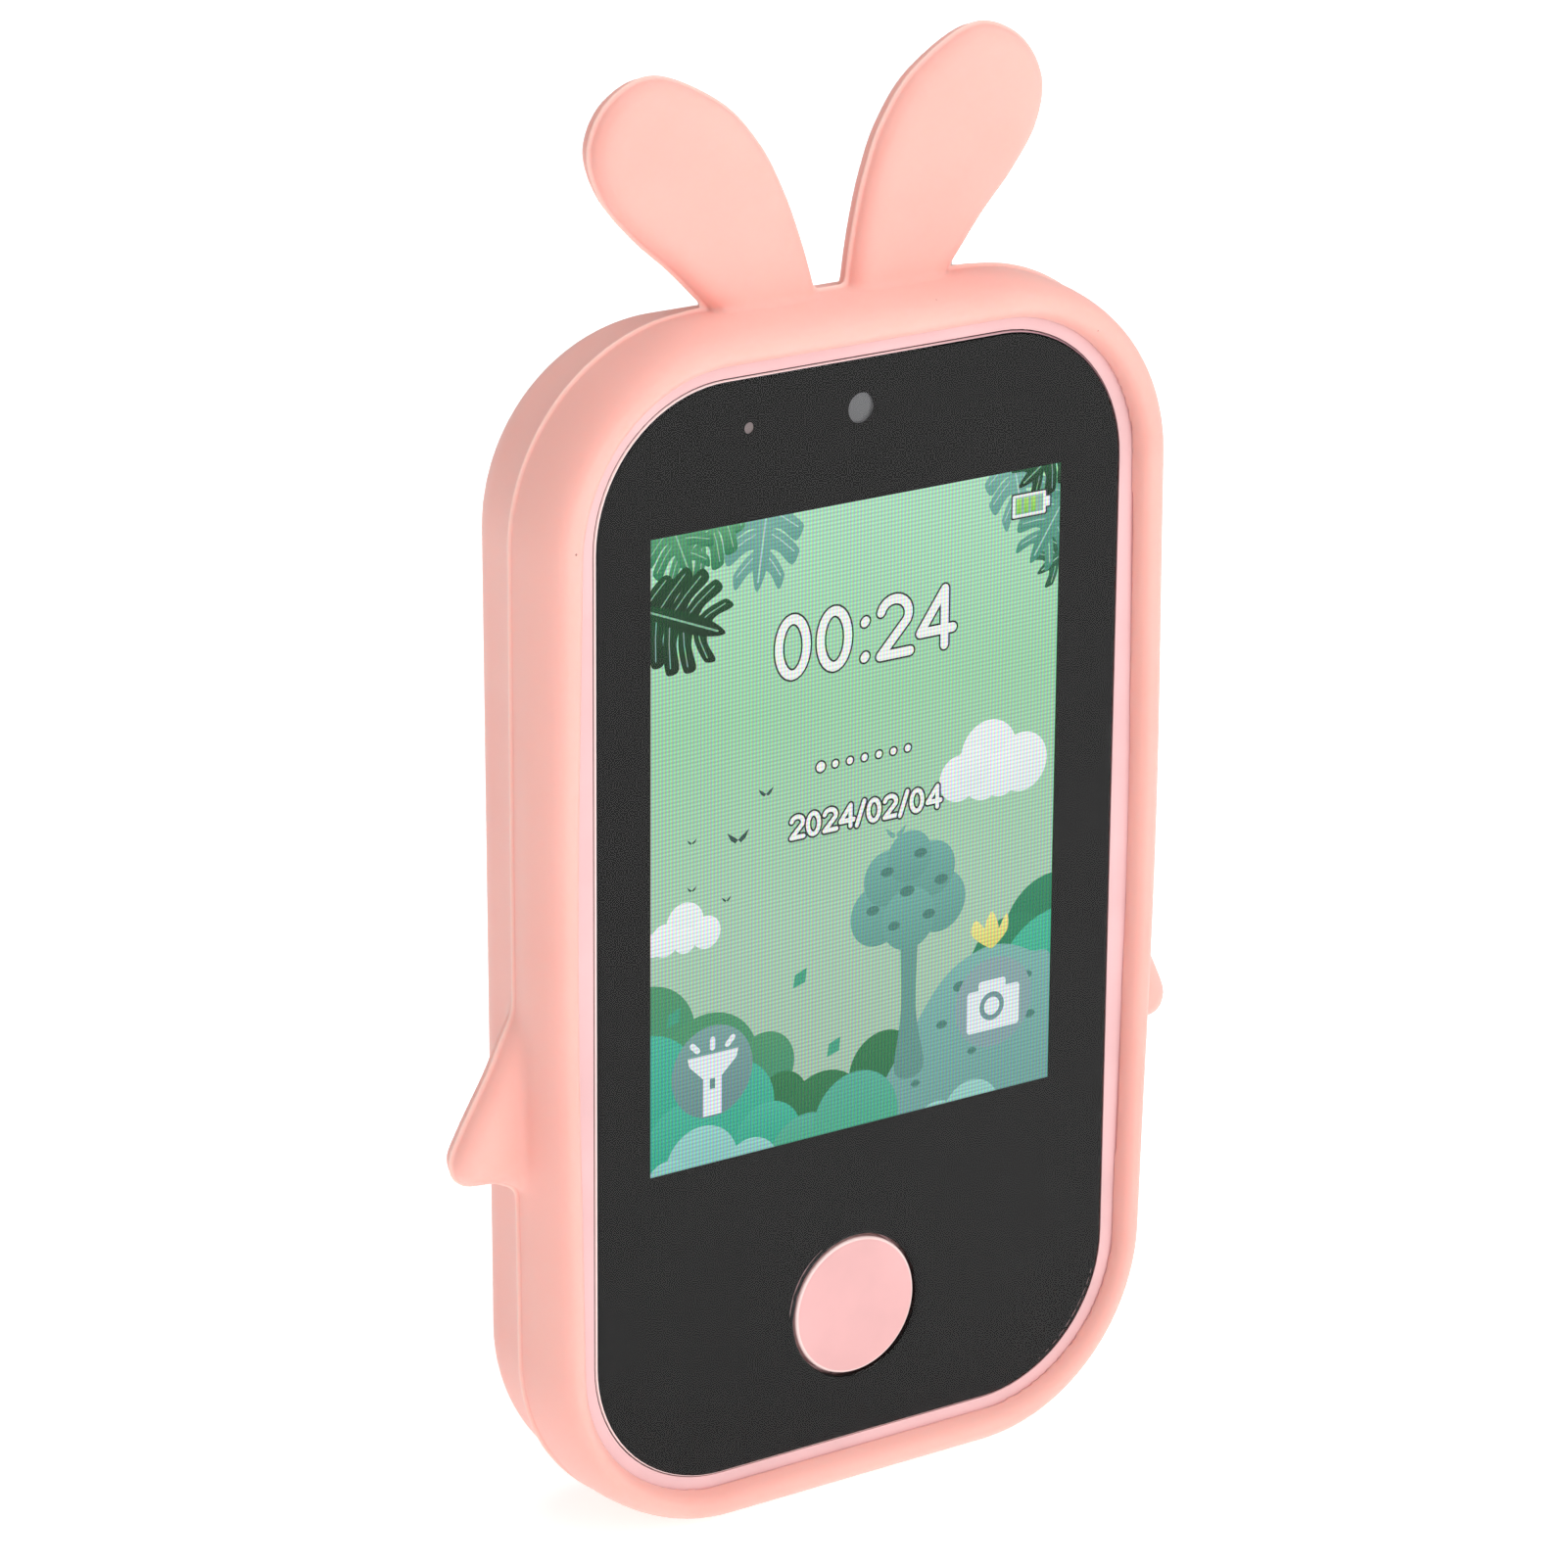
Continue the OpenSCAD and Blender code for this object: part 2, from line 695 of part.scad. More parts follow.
// The battery's two wires, from its right edge to the socket
module battery_lead() {
    wire_r = 0.55;
    start_x = battery_x + battery_w / 2;
    length = side_x - 10.5 - 4.5 / 2 - start_x;
    color("firebrick") for (up = [-0.8, 0.8])
        translate([start_x, board_back_y + 1.4, mid_z + battery_up - 12 + up])
            rotate([0, 90, 0]) cylinder(h = length, r = wire_r);
}

// The rear camera's module
module rear_camera() {
    color([0.15, 0.15, 0.16]) difference() {
        union() {
            block(-rear_camera_out, rear_camera_up, rear_camera_w, rear_camera_w, board_back_y,
                board_back_y + 3.6);
            rod(-rear_camera_out, rear_camera_up, 2.9, board_back_y, back_in_y - 0.1);
        }
        rod(-rear_camera_out, rear_camera_up, 1.6, back_in_y - 1.1, back_in_y);
    }
}

// The rear camera's glass lens
module rear_camera_lens() {
    color("slategray") rod(-rear_camera_out, rear_camera_up, 1.6, back_in_y - 1.1, back_in_y - 0.3);
}

// The clear window over the rear camera, set in the cover
module rear_camera_window() {
    color("dimgray") rod(-rear_camera_out, rear_camera_up, rear_window_r, back_in_y - 0.1,
        back_in_y - 0.1 + window_t);
}

// The flash chip behind its window
module flash_led() {
    color("khaki") block(-flash_out, rear_camera_up, 2.4, 2.4, board_back_y, back_in_y - 0.3);
}

// The flash's round window in the cover
module flash_window() {
    color("white") rod(-flash_out, rear_camera_up, flash_r, back_in_y - 0.3,
        back_in_y - 0.3 + window_t);
}

// The small loudspeaker
module speaker() {
    color([0.15, 0.15, 0.15])
        block(speaker_x, speaker_up, speaker_w, speaker_h, board_back_y, back_in_y - gasket_t);
}

// The foam ring between the loudspeaker and the cover
module speaker_gasket() {
    ring = 1;
    color("dimgray") difference() {
        block(speaker_x, speaker_up, speaker_w, speaker_h, back_in_y - gasket_t, back_in_y);
        block(speaker_x, speaker_up, speaker_w - 2 * ring, speaker_h - 2 * ring,
            back_in_y - gasket_t - over, back_in_y + over);
    }
}

// The microphone beside the charging socket
module microphone() {
    color("silver")
        block(usb_w / 2 + 5, -board_h / 2 + 2.2, 3, 4, board_back_y, board_back_y + 1.2);
}

// The charging socket, a hollow metal shell with its contact tongue
module usb_port() {
    color("silver") translate([0, usb_y, mid_z + usb_bottom]) {
        difference() {
            linear_extrude(usb_l) pill(usb_w, usb_h);
            translate([0, 0, -over]) linear_extrude(usb_l - 1.2)
                pill(usb_w - 2 * usb_wall, usb_h - 2 * usb_wall);
        }
        translate([-3.3, -0.35, 0.6]) cube([6.6, 0.7, usb_l - 1]);
    }
}

// The metal socket that guides the memory card
module card_socket() {
    w = card_w + 2 * card_gap;
    t = card_t + 2 * card_gap;
    length = body_w / 2 - wall_t - card_x + 1.2;
    color("silver") translate([card_x - 1.2, card_y, mid_z - card_down]) difference() {
        translate([0, -t / 2 - card_wall, -w / 2 - card_wall])
            cube([length, t + 2 * card_wall, w + 2 * card_wall]);
        translate([1.1, -t / 2, -w / 2]) cube([length, t, w]);
    }
}

// The memory card, which slides out of the body's side
module memory_card() {
    color([0.1, 0.1, 0.1]) translate([card_x, card_y - card_t / 2, mid_z - card_down - card_w / 2])
        cube([card_l, card_t, card_w]);
}

// The four screws that hold the two shells together
module housing_screws() {
    head_y = back_y - head_deep;
    color("silver") at_screws() difference() {
        union() {
            rod(0, 0, screw_r, deck_back_y + 0.3, head_y + over);
            rod(0, 0, screw_head_r, head_y, head_y + screw_head_t);
        }
        for (turn = [0, 90]) translate([0, head_y + screw_head_t, mid_z]) rotate([0, turn, 0])
            translate([-1, -0.5, -0.2]) cube([2, 0.5 + over, 0.4]);
    }
}

silicone_sleeve();
front_frame();
rear_cover();
cover_lens();
lens_mask();
lens_adhesive();
touch_sensor();
touch_tail();
lcd_panel();
lcd_backlight();
lcd_pad();
lcd_ribbon();
home_button();
home_plunger();
home_switch();
power_button();
power_plunger();
power_switch();
volume_up_button();
volume_up_plunger();
volume_up_switch();
volume_down_button();
volume_down_plunger();
volume_down_switch();
front_camera();
front_camera_lens();
light_pipe();
status_led();
main_board();
processor();
memory_chip();
shield_can();
battery();
battery_tape();
battery_pad();
battery_socket();
battery_lead();
rear_camera();
rear_camera_lens();
rear_camera_window();
flash_led();
flash_window();
speaker();
speaker_gasket();
microphone();
usb_port();
card_socket();
memory_card();
housing_screws();
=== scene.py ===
import math

import bmesh
import bpy
import numpy as np
from mathutils import Matrix, Vector


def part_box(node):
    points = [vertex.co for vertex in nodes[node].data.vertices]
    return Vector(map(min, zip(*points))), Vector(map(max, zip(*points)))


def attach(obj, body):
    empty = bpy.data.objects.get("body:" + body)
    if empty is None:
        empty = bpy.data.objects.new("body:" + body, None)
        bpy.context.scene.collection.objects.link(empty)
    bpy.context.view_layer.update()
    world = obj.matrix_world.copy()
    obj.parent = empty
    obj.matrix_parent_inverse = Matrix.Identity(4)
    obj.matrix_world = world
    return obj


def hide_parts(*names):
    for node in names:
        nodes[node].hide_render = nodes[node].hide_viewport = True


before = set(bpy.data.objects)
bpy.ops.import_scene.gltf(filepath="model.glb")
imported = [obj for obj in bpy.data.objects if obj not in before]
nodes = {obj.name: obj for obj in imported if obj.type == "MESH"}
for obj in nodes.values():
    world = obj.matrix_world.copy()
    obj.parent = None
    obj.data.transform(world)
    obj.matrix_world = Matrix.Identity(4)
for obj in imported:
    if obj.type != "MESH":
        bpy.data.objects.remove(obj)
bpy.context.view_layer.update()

mm = 0.001
scene = bpy.context.scene


def linear(hexColour):
    parts = [int(hexColour[i:i + 2], 16) / 255 for i in (1, 3, 5)]
    return tuple(c / 12.92 if c <= 0.04045 else ((c + 0.055) / 1.055) ** 2.4 for c in parts) + (1.0,)


def newMaterial(name):
    mat = bpy.data.materials.new(name)
    mat.use_nodes = True
    mat.node_tree.nodes.clear()
    return mat


def add(mat, kind, settings=None, inputs=None):   # one node, its settings, and its links or values
    node = mat.node_tree.nodes.new(kind)
    for key, value in (settings or {}).items():
        setattr(node, key, value)
    for key, value in (inputs or {}).items():
        socket = node.inputs[key]
        if isinstance(value, bpy.types.NodeSocket):
            mat.node_tree.links.new(value, socket)
        else:
            socket.default_value = value
    return node


def setRamp(node, stops):
    ramp = node.color_ramp
    while len(ramp.elements) < len(stops):
        ramp.elements.new(0.5)
    for element, (position, colour) in zip(ramp.elements, stops):
        element.position = position
        element.color = colour
    return node.outputs["Color"]


def output(mat, shader):
    add(mat, "ShaderNodeOutputMaterial", None, {"Surface": shader})
    return mat


def buildMesh(name, verts, faces, material, smooth=True, closed=True):
    mesh = bpy.data.meshes.new(name)
    mesh.from_pydata([tuple(v) for v in verts], [], faces)
    if closed:   # turn every face outwards
        shape = bmesh.new()
        shape.from_mesh(mesh)
        bmesh.ops.recalc_face_normals(shape, faces=shape.faces)
        shape.to_mesh(mesh)
        shape.free()
    mesh.update()
    mesh.polygons.foreach_set("use_smooth", [smooth] * len(mesh.polygons))
    mesh.materials.append(material)
    obj = bpy.data.objects.new(name, mesh)
    scene.collection.objects.link(obj)
    return obj


def place(obj, body):
    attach(obj, body)


lensLow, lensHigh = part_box("cover_lens")
midX = (lensLow.x + lensHigh.x) / 2 / mm
midZ = (lensLow.z + lensHigh.z) / 2 / mm

print("stage: sleeve")
body = {                  # the rigid phone inside the sleeve, all in mm
    "width": 59.5,
    "height": 104.2,
    "corner": 15.3,
    "front": -6.2,
    "rear": 6.4,
    "rearRound": 2.5,
}
sleeve = {
    "width": 64.4,
    "height": 109.1,
    "cornerTop": 17.85,
    "cornerBottom": 18.1,
    "taper": 0.0076,      # how much half the width grows for each mm up
    "bow": 0.8,           # how far the lip bulges out half way up each side
    "bowUp": 2.0,
    "bowReach": 31.0,
    "partingY": -0.95,
    "crestY": -8.0,
    "rearY": 8.0,
    "lipInset": 2.3,      # how far the crest sits inside the outline
    "lipPower": 2.75,
    "lipRise": 1.8,
    "lipRoll": 1.5,       # width of the lip's rolled inner side
    "lipBlend": 0.25,
    "openInset": 0.9,     # lip's inner edge, measured in from the rigid body's outline
    "rearRound": 4.0,
    "draft": 1.05,        # how far the rear half draws in
    "draftRun": 6.5,
    "ridgeRise": 0.3,
    "ridgeHalf": 0.3,
    "step": 0.42,
    "middleStep": 0.3,
    "fineStep": 0.1,
}
ear = {
    "outline": [(1.3, -3), (1.9, 0.5), (3.0, 5), (4.5, 9.4), (6.6, 13.5), (10.2, 17.4), (16.4, 20.4),
                (21.0, 19.0), (23.3, 15.4), (22.4, 11.3), (19.5, 7.6), (16.0, 4.3), (12.2, 0.2), (9.0, -3)],
    "turn": 0.02,         # both ears lean a little to one side
    "front": 1.7,         # thickness in front of the raised line
    "crown": 2.3,         # width over which the front face rounds over
    "back": 1.95,
    "round": 1.3,
    "lean": 5.0,          # degrees back
    "blend": 0.7,
}
arm = {
    "outline": [(-3, -3.2), (0.1, -4.6), (2.8, -9.9), (5.3, -14.5), (6.3, -17.1), (5.3, -19.0),
                (2.4, -19.4), (-3, -19.7)],
    "lean": 0.1,          # how far it goes back for each mm it stands out
    "lowest": 33.0,
    "highest": 57.0,
    "front": 1.9,
    "crown": 2.2,
    "back": 1.8,
    "round": 1.4,
    "blend": 1.3,
}
earPad = {                # low pad that carries both ears
    "width": 29.6,
    "height": 1.0,
    "corner": 0.48,
    "drop": 0.75,
    "y": 0.5,
    "halfDepth": 1.9,
    "round": 0.9,
    "blend": 1.2,
}
cuts = {
    "sideUp": [31, 18.5, 7.5],
    "sideSize": (4.2, 9.8),
    "sideY": 1.5,
    "cardUp": -30,
    "cardSize": (3.2, 13.2),
    "cardY": 0.23,
    "portSize": (12.2, 6.4),
    "portY": 1.0,
    "cameraAt": (-11, 35),
    "cameraSize": (19.4, 9.4),
    "speakerAt": (-11, -33),
    "speakerSize": (14, 6.8),
    "edge": 0.7,
}
crownPower = 2.2
topZ = sleeve["height"]
leanSlope = math.tan(math.radians(ear["lean"]))


def closedCurve(points, perSpan=7):   # smooth loop through the points
    pts = np.array(points, float)
    n = len(pts)
    out = []
    for i in range(n):
        a, b, c, d = (pts[(i + k) % n] for k in (-1, 0, 1, 2))
        for t in np.linspace(0, 1, perSpan, endpoint=False):
            bend = (2 * a - 5 * b + 4 * c - d) * t * t + (3 * b - a - 3 * c + d) * t ** 3
            out.append(0.5 * (2 * b + (c - a) * t + bend))
    return np.array(out)


earLoop = closedCurve(ear["outline"])
armLoop = closedCurve(arm["outline"])


# the sleeve is a distance field: below zero is silicone, zero is its skin
def curveDistance(loop, x, z):
    best = np.full(x.shape, 1e9)
    inside = np.zeros(x.shape, bool)
    for (ax, az), (bx, bz) in zip(loop, np.roll(loop, -1, axis=0)):
        dx, dz = bx - ax, bz - az
        t = np.clip(((x - ax) * dx + (z - az) * dz) / (dx * dx + dz * dz), 0, 1)
        best = np.minimum(best, (x - ax - t * dx) ** 2 + (z - az - t * dz) ** 2)
        if az != bz:
            inside ^= ((az > z) != (bz > z)) & (x < dx * (z - az) / dz + ax)
    best = np.sqrt(best)
    return np.where(inside, -best, best)


def roundedJoin(a, b, r):
    qa, qb = a + r, b + r
    return np.hypot(np.maximum(qa, 0), np.maximum(qb, 0)) + np.minimum(np.maximum(qa, qb), 0) - r


def rectDistance(x, z, w, h, r):
    return roundedJoin(np.abs(x) - w / 2, np.abs(z) - h / 2, r)


def softMin(a, b, k):
    h = np.maximum(k - np.abs(a - b), 0) / k
    return np.minimum(a, b) - h ** 3 * k / 6


def softMax(a, b, k):
    return -softMin(-a, -b, k)


def crowned(d, depth, wide, deep, power):   # edge that rounds over along part of an oval
    u = np.maximum((d + wide) / wide, 0)
    v = np.maximum(depth / deep, 1e-6)
    m = (u ** power + v ** power) ** (1 / power)
    slope = np.hypot((u / m) ** (power - 1) / wide, (v / m) ** (power - 1) / deep)
    return (m - 1) / np.maximum(slope, 1e-6)


def paddle(loop, x, y, z, form):   # flat limb with a crowned front and a rounded back
    d = curveDistance(loop, x, z)
    front = crowned(d, -y, form["crown"], form["front"], crownPower)
    return np.where(y < 0, front, roundedJoin(d, y - form["back"], form["round"]))


def pill(a, b, size):
    return rectDistance(a, b, size[0], size[1], min(size) / 2)


def leanAt(z):
    return leanSlope * np.maximum(z - topZ + 1, 0)


def sweepAt(x, z):
    out = np.maximum(np.abs(x) - sleeve["width"] / 2, 0)
    fade = np.clip((arm["highest"] - z) / 4, 0, 1) * np.clip((z - arm["lowest"]) / 2, 0, 1)
    return arm["lean"] * out * fade


def bowAt(y, z):
    front = np.clip((sleeve["partingY"] + 1.5 - y) / 5, 0, 1)
    swell = np.exp(-((z - midZ - sleeve["bowUp"]) / sleeve["bowReach"]) ** 2)
    return sleeve["bow"] * swell * front * front * (3 - 2 * front)


def ridgeAt(x, y, z):   # raised line where the two mould halves met
    t = (y - sleeve["partingY"] - leanAt(z) - sweepAt(x, z)) / sleeve["ridgeHalf"]
    return np.maximum(1 - t * t, 0) ** 1.5 * np.clip((z - 3) / 6, 0, 1)


def shellField(x, y, z):
    up = z - midZ
    grown = 1 + (sleeve["taper"] * up + bowAt(y, z)) / (sleeve["width"] / 2)
    corner = np.where(up > 0, sleeve["cornerTop"], sleeve["cornerBottom"])
    d = rectDistance(x / grown, up, sleeve["width"], sleeve["height"], corner)
    ahead = sleeve["partingY"] - y
    front = crowned(d, ahead, sleeve["lipInset"], sleeve["partingY"] - sleeve["crestY"], sleeve["lipPower"])
    run = 1 - np.clip(-ahead / sleeve["draftRun"], 0, 1)
    wall = d + sleeve["draft"] * (1 - run ** 1.6)
    rear = roundedJoin(wall, y - sleeve["rearY"], sleeve["rearRound"])
    return np.where(ahead > 0, front, rear)


def addEars(f, x, y, z):
    high = z > topZ - 8
    xe, ye, ze = x[high], y[high], z[high] - topZ
    depth = ye - sleeve["partingY"] - leanAt(z[high])
    part = paddle(earLoop, np.abs(xe + ze * ear["turn"]), depth, ze - xe * ear["turn"], ear)
    outline = rectDistance(xe, ze + earPad["drop"], earPad["width"], earPad["height"], earPad["corner"])
    pad = roundedJoin(outline, np.abs(ye - earPad["y"]) - earPad["halfDepth"], earPad["round"])
    f[high] = softMin(softMin(f[high], pad, earPad["blend"]), part, ear["blend"])


def addArms(f, x, y, z):
    low = (z > arm["lowest"] - 3) & (z < arm["highest"] + 1) & (np.abs(x) > sleeve["width"] / 2 - 6.2)
    depth = y[low] - sleeve["partingY"] - sweepAt(x[low], z[low])
    part = paddle(armLoop, np.abs(x[low]) - sleeve["width"] / 2, depth, z[low] - midZ, arm)
    f[low] = softMin(f[low], part, arm["blend"])


def cutSide(f, x, y, z):   # three button slots and the card slot
    right = x > 24
    yr, zr = y[right], z[right] - midZ
    hole = pill(yr - cuts["cardY"], zr - cuts["cardUp"], cuts["cardSize"])
    for up in cuts["sideUp"]:
        hole = np.minimum(hole, pill(yr - cuts["sideY"], zr - up, cuts["sideSize"]))
    f[right] = softMax(f[right], -hole, cuts["edge"])


def cutBack(f, x, y, z):   # rear camera and loudspeaker
    back = y > 4
    xb, zb = x[back], z[back] - midZ
    (cameraX, cameraZ), (speakerX, speakerZ) = cuts["cameraAt"], cuts["speakerAt"]
    hole = np.minimum(pill(xb - cameraX, zb - cameraZ, cuts["cameraSize"]),
                      pill(xb - speakerX, zb - speakerZ, cuts["speakerSize"]))
    f[back] = softMax(f[back], -hole, cuts["edge"])


def sleeveField(x, y, z):
    f = shellField(x, y, z)
    addEars(f, x, y, z)
    addArms(f, x, y, z)
    f = f - sleeve["ridgeRise"] * ridgeAt(x, y, z)
    # the lip's opening, rolled over towards its crest, and room for the phone
    inner = rectDistance(x, z - midZ, body["width"], body["height"], body["corner"])
    spread = bowAt(y, z) * np.clip((np.abs(x) - 20) / 6, 0, 1)
    opening = inner + sleeve["openInset"] - spread
    rollY = sleeve["crestY"] + sleeve["lipRise"]
    roll = crowned(-opening, rollY - y, sleeve["lipRoll"], sleeve["lipRise"], 2.0)
    f = np.where(y < rollY + 1, softMax(f, roll, sleeve["lipBlend"]), f)
    room = np.maximum(roundedJoin(inner, y - body["rear"], body["rearRound"]), body["front"] - y)
    f = np.maximum(f, -room)
    cutSide(f, x, y, z)
    port = np.maximum(pill(x, y - cuts["portY"], cuts["portSize"]), z - 5)
    f = softMax(f, -port, cuts["edge"])
    cutBack(f, x, y, z)
    return f


def gridLines():   # rows are close together at the raised line and at the lip
    xs = np.arange(-41, 41.01, sleeve["step"])
    zs = np.arange(-1, topZ + 23, sleeve["step"])
    ys = [-9.0]
    while ys[-1] < 9:
        off = abs(ys[-1] - sleeve["partingY"])
        step = sleeve["step"]
        if off < 0.6:
            step = sleeve["fineStep"]
        elif off < 1.2 or ys[-1] < body["front"] + 0.2:
            step = sleeve["middleStep"]
        ys.append(ys[-1] + step)
    return xs, np.array(ys), zs


def surfaceNet():   # one point in each cell that the skin passes through, one face on each edge it crosses
    xs, ys, zs = gridLines()
    gx, gy, gz = np.meshgrid(xs, ys, zs, indexing="ij")
    gy = gy + leanAt(gz)
    shape = gx.shape
    f = sleeveField(gx.ravel(), gy.ravel(), gz.ravel()).reshape(shape)
    spots = np.stack([gx, gy, gz], axis=-1)
    cellShape = tuple(s - 1 for s in shape)
    total = np.zeros(cellShape + (3,))
    count = np.zeros(cellShape)
    faces = []
    for axis in range(3):
        near, far = [slice(None)] * 3, [slice(None)] * 3
        near[axis], far[axis] = slice(None, -1), slice(1, None)
        near, far = tuple(near), tuple(far)
        cross = (f[near] < 0) != (f[far] < 0)
        where = np.argwhere(cross)
        fa = f[near][cross]
        t = fa / (fa - f[far][cross])
        points = spots[near][cross] + (spots[far][cross] - spots[near][cross]) * t[:, None]
        sides = [k for k in range(3) if k != axis]
        ok = np.ones(len(where), bool)
        for k in sides:
            ok &= (where[:, k] > 0) & (where[:, k] < shape[k] - 1)
        corners = []
        for back1, back2 in ((0, 0), (1, 0), (1, 1), (0, 1)):
            cell = where[ok].copy()
            cell[:, sides[0]] -= back1
            cell[:, sides[1]] -= back2
            np.add.at(total, tuple(cell.T), points[ok])
            np.add.at(count, tuple(cell.T), 1)
            corners.append(np.ravel_multi_index(tuple(cell.T), cellShape))
        quad = np.stack(corners, axis=1)
        turn = (fa[ok] < 0) == (axis == 1)   # keeps every face's winding the same way out
        quad[turn] = quad[turn][:, ::-1]
        faces.append(quad)
    faces = np.concatenate(faces)
    used = np.unique(faces)
    index = np.full(int(np.prod(cellShape)), -1)
    index[used] = np.arange(len(used))
    return total.reshape(-1, 3)[used] / count.ravel()[used][:, None], index[faces]


def settle(verts, rounds=4):   # draw each point onto the skin itself
    probe = 0.02
    longest = 0.25
    for _ in range(rounds):
        x, y, z = verts.T
        f0 = sleeveField(x, y, z)
        slope = np.stack([sleeveField(x + probe, y, z) - f0, sleeveField(x, y + probe, z) - f0,
                          sleeveField(x, y, z + probe) - f0], axis=1) / probe
        move = -(f0 / np.maximum((slope ** 2).sum(1), 0.05))[:, None] * slope
        length = np.linalg.norm(move, axis=1)
        verts = verts + move * np.minimum(1, longest / np.maximum(length, 1e-9))[:, None]
    verts[:, 2] = np.maximum(verts[:, 2], 0)
    return verts


sleeveLook = {
    "colour": "#FAB9AE",
    "deep": "#F7B1A6",
    # painted highlight colour of the raised line
    "ridge": "#FFDCD3",
    "speck": "#A8736A",
    "cloud": 22.22,       # mm across one patch of the slow change of tone
    "grain": 0.3846,      # mm across the moulded grain, coarser than the real one so that it shows
    "grainRelief": 0.1,
    "dustPitch": 9.09,
    "dustShare": 0.012,   # how much of that pitch one speck takes up
    "roughness": (0.46, 0.58),
    "ridgeHighlightStrength": 0.55,    # how strongly the painted highlight pales the raised line
    "scatter": 0.9,       # mm the light travels inside
}


def siliconeSoftMoulded():   # soft and slightly see-through, with no sharp highlight
    mat = newMaterial("silicone_soft_matt_moulded")
    where = add(mat, "ShaderNodeTexCoord").outputs["Object"]
    cloud = add(mat, "ShaderNodeTexNoise", None, {
        "Vector": where, "Scale": 1000 / sleeveLook["cloud"], "Detail": 3})
    grain = add(mat, "ShaderNodeTexNoise", None, {
        "Vector": where, "Scale": 1000 / sleeveLook["grain"], "Detail": 2})
    tone = setRamp(add(mat, "ShaderNodeValToRGB", None, {"Fac": cloud.outputs["Fac"]}),
                   [(0.3, linear(sleeveLook["deep"])), (0.6, linear(sleeveLook["colour"]))])
    low, high = sleeveLook["roughness"]
    rough = add(mat, "ShaderNodeMapRange", None,
                {"Value": grain.outputs["Fac"], "To Min": low, "To Max": high})
    relief = add(mat, "ShaderNodeBump", None, {
        "Height": grain.outputs["Fac"], "Strength": 0.06, "Distance": sleeveLook["grainRelief"] * mm})
    # a few specks of dust, which this rubber always picks up
    dust = add(mat, "ShaderNodeTexVoronoi", None, {"Vector": where, "Scale": 1000 / sleeveLook["dustPitch"]})
    speck = add(mat, "ShaderNodeMath", {"operation": "LESS_THAN"},
                {0: dust.outputs["Distance"], 1: sleeveLook["dustShare"]})
    dusty = add(mat, "ShaderNodeMix", {"data_type": "RGBA"},
                {"Factor": speck.outputs[0], 6: tone, 7: linear(sleeveLook["speck"])})
    # painted highlight: the raised line is painted paler, towards the ridge colour
    crest = add(mat, "ShaderNodeAttribute", {"attribute_name": "crest"}).outputs["Fac"]
    lift = add(mat, "ShaderNodeMath", {"operation": "MULTIPLY"}, {0: crest, 1: sleeveLook["ridgeHighlightStrength"]})
    ridgeHighlighted = add(mat, "ShaderNodeMix", {"data_type": "RGBA"},
                {"Factor": lift.outputs[0], 6: dusty.outputs[2], 7: linear(sleeveLook["ridge"])})
    surface = add(mat, "ShaderNodeBsdfPrincipled", None, {
        "Base Color": ridgeHighlighted.outputs[2],
        "Roughness": rough.outputs["Result"],
        "Normal": relief.outputs["Normal"],
        "IOR": 1.41,
        "Subsurface Weight": 0.45,
        "Subsurface Radius": (1.0, 0.42, 0.32),
        "Subsurface Scale": sleeveLook["scatter"] * mm,
        "Sheen Weight": 0.12,
        "Sheen Roughness": 0.5,
    })
    return output(mat, surface.outputs["BSDF"])


netVerts, sleeveFaces = surfaceNet()
sleeveVerts = settle(netVerts)
sleevePiece = buildMesh("sleeve_skin", sleeveVerts * mm, sleeveFaces.tolist(), siliconeSoftMoulded())
# crest holds the mask for the painted highlight along the raised line
crest = sleevePiece.data.attributes.new("crest", "FLOAT", "POINT")
crest.data.foreach_set("value", ridgeAt(*sleeveVerts.T).astype(np.float32))
place(sleevePiece, "phone")
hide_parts("silicone_sleeve")
print("sleeve faces", len(sleeveFaces))

